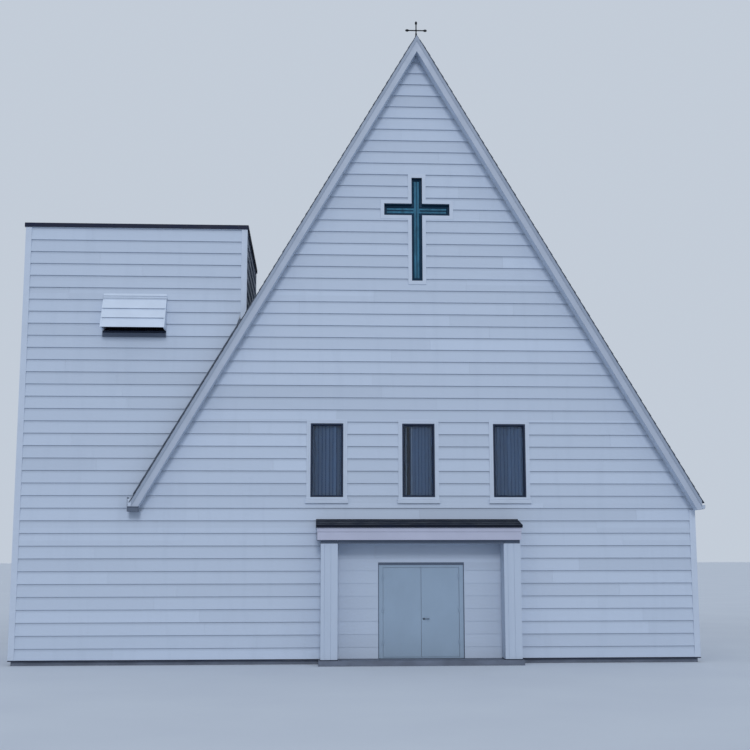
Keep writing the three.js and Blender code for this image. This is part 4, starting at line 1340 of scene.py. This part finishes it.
def build_canopy_roof():
    """Three lapped sheets up the canopy's roof, each with a rolled edge, and a strip up the wall behind."""
    low, high = span("portal_roof")
    edge = corners_of("portal_roof", 1, low[1])[:, 2].max()
    depth, rise = FRONT - low[1], high[2] - edge
    pitch = math.atan2(rise, depth)

    def on_canopy(t, lift):
        """Wall coordinates on the roof: t from 0 at the foot to 1 at the wall, lift square to it."""
        return depth * (1 - t) + lift * math.sin(pitch), edge + rise * t + lift * math.cos(pitch)

    shapes = []
    for start in (0.0, 1 / 3, 2 / 3):
        end = min(start + 0.45, 1.0)
        sheet = [on_canopy(start, 0.006), on_canopy(start, 0.009),
                 on_canopy(end, 0.003), on_canopy(end, CLEAR)]
        shapes.append(run(FRONT_WALL, sheet, low[0], high[0]))
        w, z = on_canopy(start, 0.007)
        shapes.append(tube(FRONT_WALL.at(np.array([low[0], high[0]]), w, z), 0.006, (0, 1, 0), 8))
    near, far, foot, top = depth + CLEAR, depth + 0.003, low[2], high[2]
    drip = [(near, edge + 0.006), (far, edge + 0.006), (far, foot - 0.004), (far + 0.004, foot - 0.012),
            (far + 0.001, foot - 0.013), (near, foot - 0.004)]
    strip = [(0.0, top), (0.036, top - 0.004), (0.037, top), (0.034, top + 0.014), (0.0, top + 0.014)]
    shapes += [run(FRONT_WALL, profile, low[0], high[0]) for profile in (drip, strip)]
    build("portal_roof_sheets", together(shapes), "roofing")


class CHURCH_OT_portal(bpy.types.Operator):
    """Builds the boarded piers, the canopy's fascia and soffit, and the laps of its metal roof"""

    bl_idname = "church.portal"
    bl_label = "Portal"

    def execute(self, context):
        build_piers(context.scene.church_sizes.shadow_gap)
        build_canopy()
        build_canopy_roof()
        return {"FINISHED"}


def door_lever(face):
    """The door's levers: a rose on each side of the leaf, and a bar out of it that bends along the leaf."""
    low, high = span("door_handle")
    z, x, tip = (low[2] + high[2]) / 2, low[0] + (high[2] - low[2]) / 2, high[0]
    leaf_front, leaf_thick = FRONT - face + 0.008, 0.054
    shapes = []
    for y, y_bar in ((leaf_front, low[1] + 0.009), (leaf_front + leaf_thick, high[1] - 0.009)):
        out = np.sign(y_bar - y)
        rose = [(x, y + out * d, z) for d in (0.0003, 0.006, 0.008)]
        start, end = (x, y, z), (tip, y_bar, z)
        path = np.concatenate([[start], bend(start, (x, y_bar, z), end, 0.02, 8), [end]])
        shapes += [tube(rose, (0.026, 0.026, 0.022), (1, 0, 0), 28), tube(path, 0.0088, (0, 0, 1), 16)]
    return together(shapes)


class CHURCH_OT_doors(bpy.types.Operator):
    """Adds the grey edge of the double door, painted shade along its frame, and the threshold, and makes its
    lever
    """

    bl_idname = "church.doors"
    bl_label = "Doors"

    def execute(self, context):
        (left, _, foot), (right, _, head) = span("door_frame")
        face = FRONT - corners_of("door_frame", 2, head)[:, 1].min()
        strip, rail = 0.016, context.scene.church_sizes.door_shade_head
        # Painted shade up one side, over the head and down the other, on the frame's outer edge, and wider
        # at the head
        rings = []
        for u, z, du, dz in ((right, foot, -strip, 0), (right, head, -strip, -rail),
                             (left, head, strip, -rail), (left, foot, strip, 0)):
            rings.append(FRONT_WALL.at(np.array([u, u + du, u + du, u]),
                                       face + np.array([-0.001, -0.001, 0.012, 0.02]),
                                       np.array([z, z + dz, z + dz, z])))
        build("door_surround", lofts(rings), "grey_metal_and_shade")
        plate = bars(FRONT_WALL, left, right, face - 0.03, 0.03, foot, foot + 0.006)
        build("threshold_plate", plate, "steel")
        build("door_lever", door_lever(face), "steel", body="right_leaf", replaces=["door_handle"],
              smooth=40)
        return {"FINISHED"}


class CHURCH_OT_ridge_cross(bpy.types.Operator):
    """Forges the iron cross that stands on the front end of the ridge"""

    bl_idname = "church.ridge_cross"
    bl_label = "Ridge cross"

    def execute(self, context):
        low, high = span("ridge_cross")
        knob, bar, drawn = 0.028, 0.0135, 0.045
        y, top, arm = (low[1] + high[1]) / 2, high[2] - drawn, high[0] - drawn
        level = corners_of("ridge_cross", 0, high[0])[:, 2].mean()
        cap = span("ridge_cap")[1][2]
        root = cap - 0.02
        # The post widens to its foot, and bars and post end in drawn-out knobs
        post = [(0, y, z) for z in (root, root + 0.02, root + 0.1, level, top)]
        shapes = [tube(post, (0.03, 0.026, bar, bar, bar), (1, 0, 0)),
                  tube([(x, y, level) for x in (-arm, 0, arm)], bar, (0, 1, 0)),
                  ball((0, y, top), (knob, knob, drawn)),
                  ball((-arm, y, level), (drawn, knob, knob)), ball((arm, y, level), (drawn, knob, knob)),
                  ball((0, y, level), knob * 0.9), ball((0, y, root + 0.1), knob * 0.8)]
        # It stands on a saddle that is bent over the ridge
        wide, near, ridge = 0.05, 0.02, cap + 0.004
        edge = ridge - SLOPE * wide
        shoulder = ridge + 0.012 - SLOPE * near
        saddle = [(-wide, edge), (0, ridge), (wide, edge), (wide, edge + 0.006), (near, shoulder),
                  (0, ridge + 0.016), (-near, shoulder), (-wide, edge + 0.006)]
        shapes.append(run_back(saddle, y - 0.075, y + 0.075))
        build("iron_cross", together(shapes), "iron", replaces=["ridge_cross"], smooth=40)
        return {"FINISHED"}


# The finish of every frame piece that still shows
FRAME_FINISHES = {
    "lining": ["front_wall_left", "front_wall_right", "front_gable", "rear_wall", "side_wall_right",
               "side_wall_left", "tower_wall_front", "tower_wall_left", "tower_wall_rear",
               "tower_wall_right", "roof_right", "roof_left_rear", "roof_left_front"],
    "barge": [f"bargeboard_{end}_{hand}" for end in ("front", "rear") for hand in ("left", "right")],
    "louvre": ["tower_louvre"],
    "metal": ["ridge_cap", "tower_roof"],
    "roofing": ["portal_roof"],
    "cross_frame": ["cross_window_frame"],
    "concrete": ["foundation"],
    "floor": ["nave_floor"],
    "door": ["door_frame", "door_leaf_left", "door_leaf_right"],
    "teal": ["cross_window_glass"],
}


class CHURCH_OT_frame_finishes(bpy.types.Operator):
    """Gives every frame piece that still shows its own finish"""

    bl_idname = "church.frame_finishes"
    bl_label = "Frame finishes"

    def execute(self, context):
        bare = {name for name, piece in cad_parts.items() if not piece.hide_render}
        for name, nodes in FRAME_FINISHES.items():
            for node in nodes:
                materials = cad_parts[node].data.materials
                materials.clear()
                materials.append(finish(name))
                bare.discard(node)
        if bare:
            raise RuntimeError(f"frame pieces with no finish: {sorted(bare)}")
        return {"FINISHED"}


# Where the photograph was taken from, in metres, and how the camera was turned, in degrees
CAMERA_PLACE = (-2.307, FRONT - 26.316, PLINTH + 2.171)
CAMERA_RIGHT, CAMERA_UP, CAMERA_ROLL = 2.928, 8.593, 0.078
CAMERA_LENS, CAMERA_SENSOR = 57.6, 36.0


class CHURCH_OT_stage(bpy.types.Operator):
    """Lays the pale floor, sets the soft light and stands the camera where the photograph was taken"""

    bl_idname = "church.stage"
    bl_label = "Stage"

    def execute(self, context):
        scene = context.scene
        reach = 400.0
        floor = bpy.data.meshes.new("studio_floor")
        corners = [(-reach, -reach, 0), (reach, -reach, 0), (reach, reach, 0), (-reach, reach, 0)]
        floor.from_pydata(corners, [], [(0, 1, 2, 3)])
        floor.materials.append(studio_paper())
        ground = bpy.data.objects.new("studio_floor", floor)
        scene.collection.objects.link(ground)

        world = bpy.data.worlds.new("studio")
        world.use_nodes = True
        background = world.node_tree.nodes["Background"]
        background.inputs["Color"].default_value = tinted(linear("#D4DEEB"))
        background.inputs["Strength"].default_value = 0.83
        scene.world = world

        key = bpy.data.lights.new("softbox", "SUN")
        key.energy = 0.9
        key.angle = math.radians(14)
        key.color = linear("#F4F8FF")
        lamp = bpy.data.objects.new("softbox", key)
        lamp.rotation_euler = (math.radians(60), 0, 0)
        scene.collection.objects.link(lamp)

        lens = bpy.data.cameras.new("camera")
        lens.lens, lens.sensor_width = CAMERA_LENS, CAMERA_SENSOR
        lens.clip_end = 2000.0
        camera = bpy.data.objects.new("camera", lens)
        camera.location = CAMERA_PLACE
        camera.rotation_euler = [math.radians(turn) for turn in (90 + CAMERA_UP, CAMERA_ROLL, -CAMERA_RIGHT)]
        scene.collection.objects.link(camera)
        scene.camera = camera
        scene.view_settings.view_transform = "Standard"
        return {"FINISHED"}


OPERATORS = [
    CHURCH_OT_weatherboards, CHURCH_OT_corner_boards, CHURCH_OT_slates, CHURCH_OT_roof_metal,
    CHURCH_OT_gutters, CHURCH_OT_tower_roof, CHURCH_OT_windows, CHURCH_OT_blinds, CHURCH_OT_cross_window,
    CHURCH_OT_louvre, CHURCH_OT_portal, CHURCH_OT_doors, CHURCH_OT_ridge_cross, CHURCH_OT_frame_finishes,
    CHURCH_OT_stage,
]


class CHURCH_PT_panel(bpy.types.Panel):
    """Sizes, colours and one button for each group of pieces"""

    bl_idname = "CHURCH_PT_panel"
    bl_label = "Timber church"
    bl_space_type = "VIEW_3D"
    bl_region_type = "UI"
    bl_category = "Church"

    def draw(self, context):
        layout = self.layout
        for group in (context.scene.church_sizes, context.scene.church_colours):
            box = layout.box()
            for name in group.bl_rna.properties.keys():
                if name not in ("rna_type", "name"):
                    box.prop(group, name)
        for operator in OPERATORS:
            layout.operator(operator.bl_idname)


CLASSES = [ChurchSizes, ChurchColours, *OPERATORS, CHURCH_PT_panel]


def register():
    """Registers the classes and hangs both property groups on the scene."""
    for one in CLASSES:
        bpy.utils.register_class(one)
    bpy.types.Scene.church_sizes = PointerProperty(type=ChurchSizes)
    bpy.types.Scene.church_colours = PointerProperty(type=ChurchColours)


def unregister():
    """Takes everything back that register added."""
    del bpy.types.Scene.church_colours
    del bpy.types.Scene.church_sizes
    for one in reversed(CLASSES):
        bpy.utils.unregister_class(one)


def main():
    """Runs every operator in order."""
    register()
    for operator in OPERATORS:
        group, name = operator.bl_idname.split(".")
        getattr(getattr(bpy.ops, group), name)()


if __name__ == "__main__":
    main()
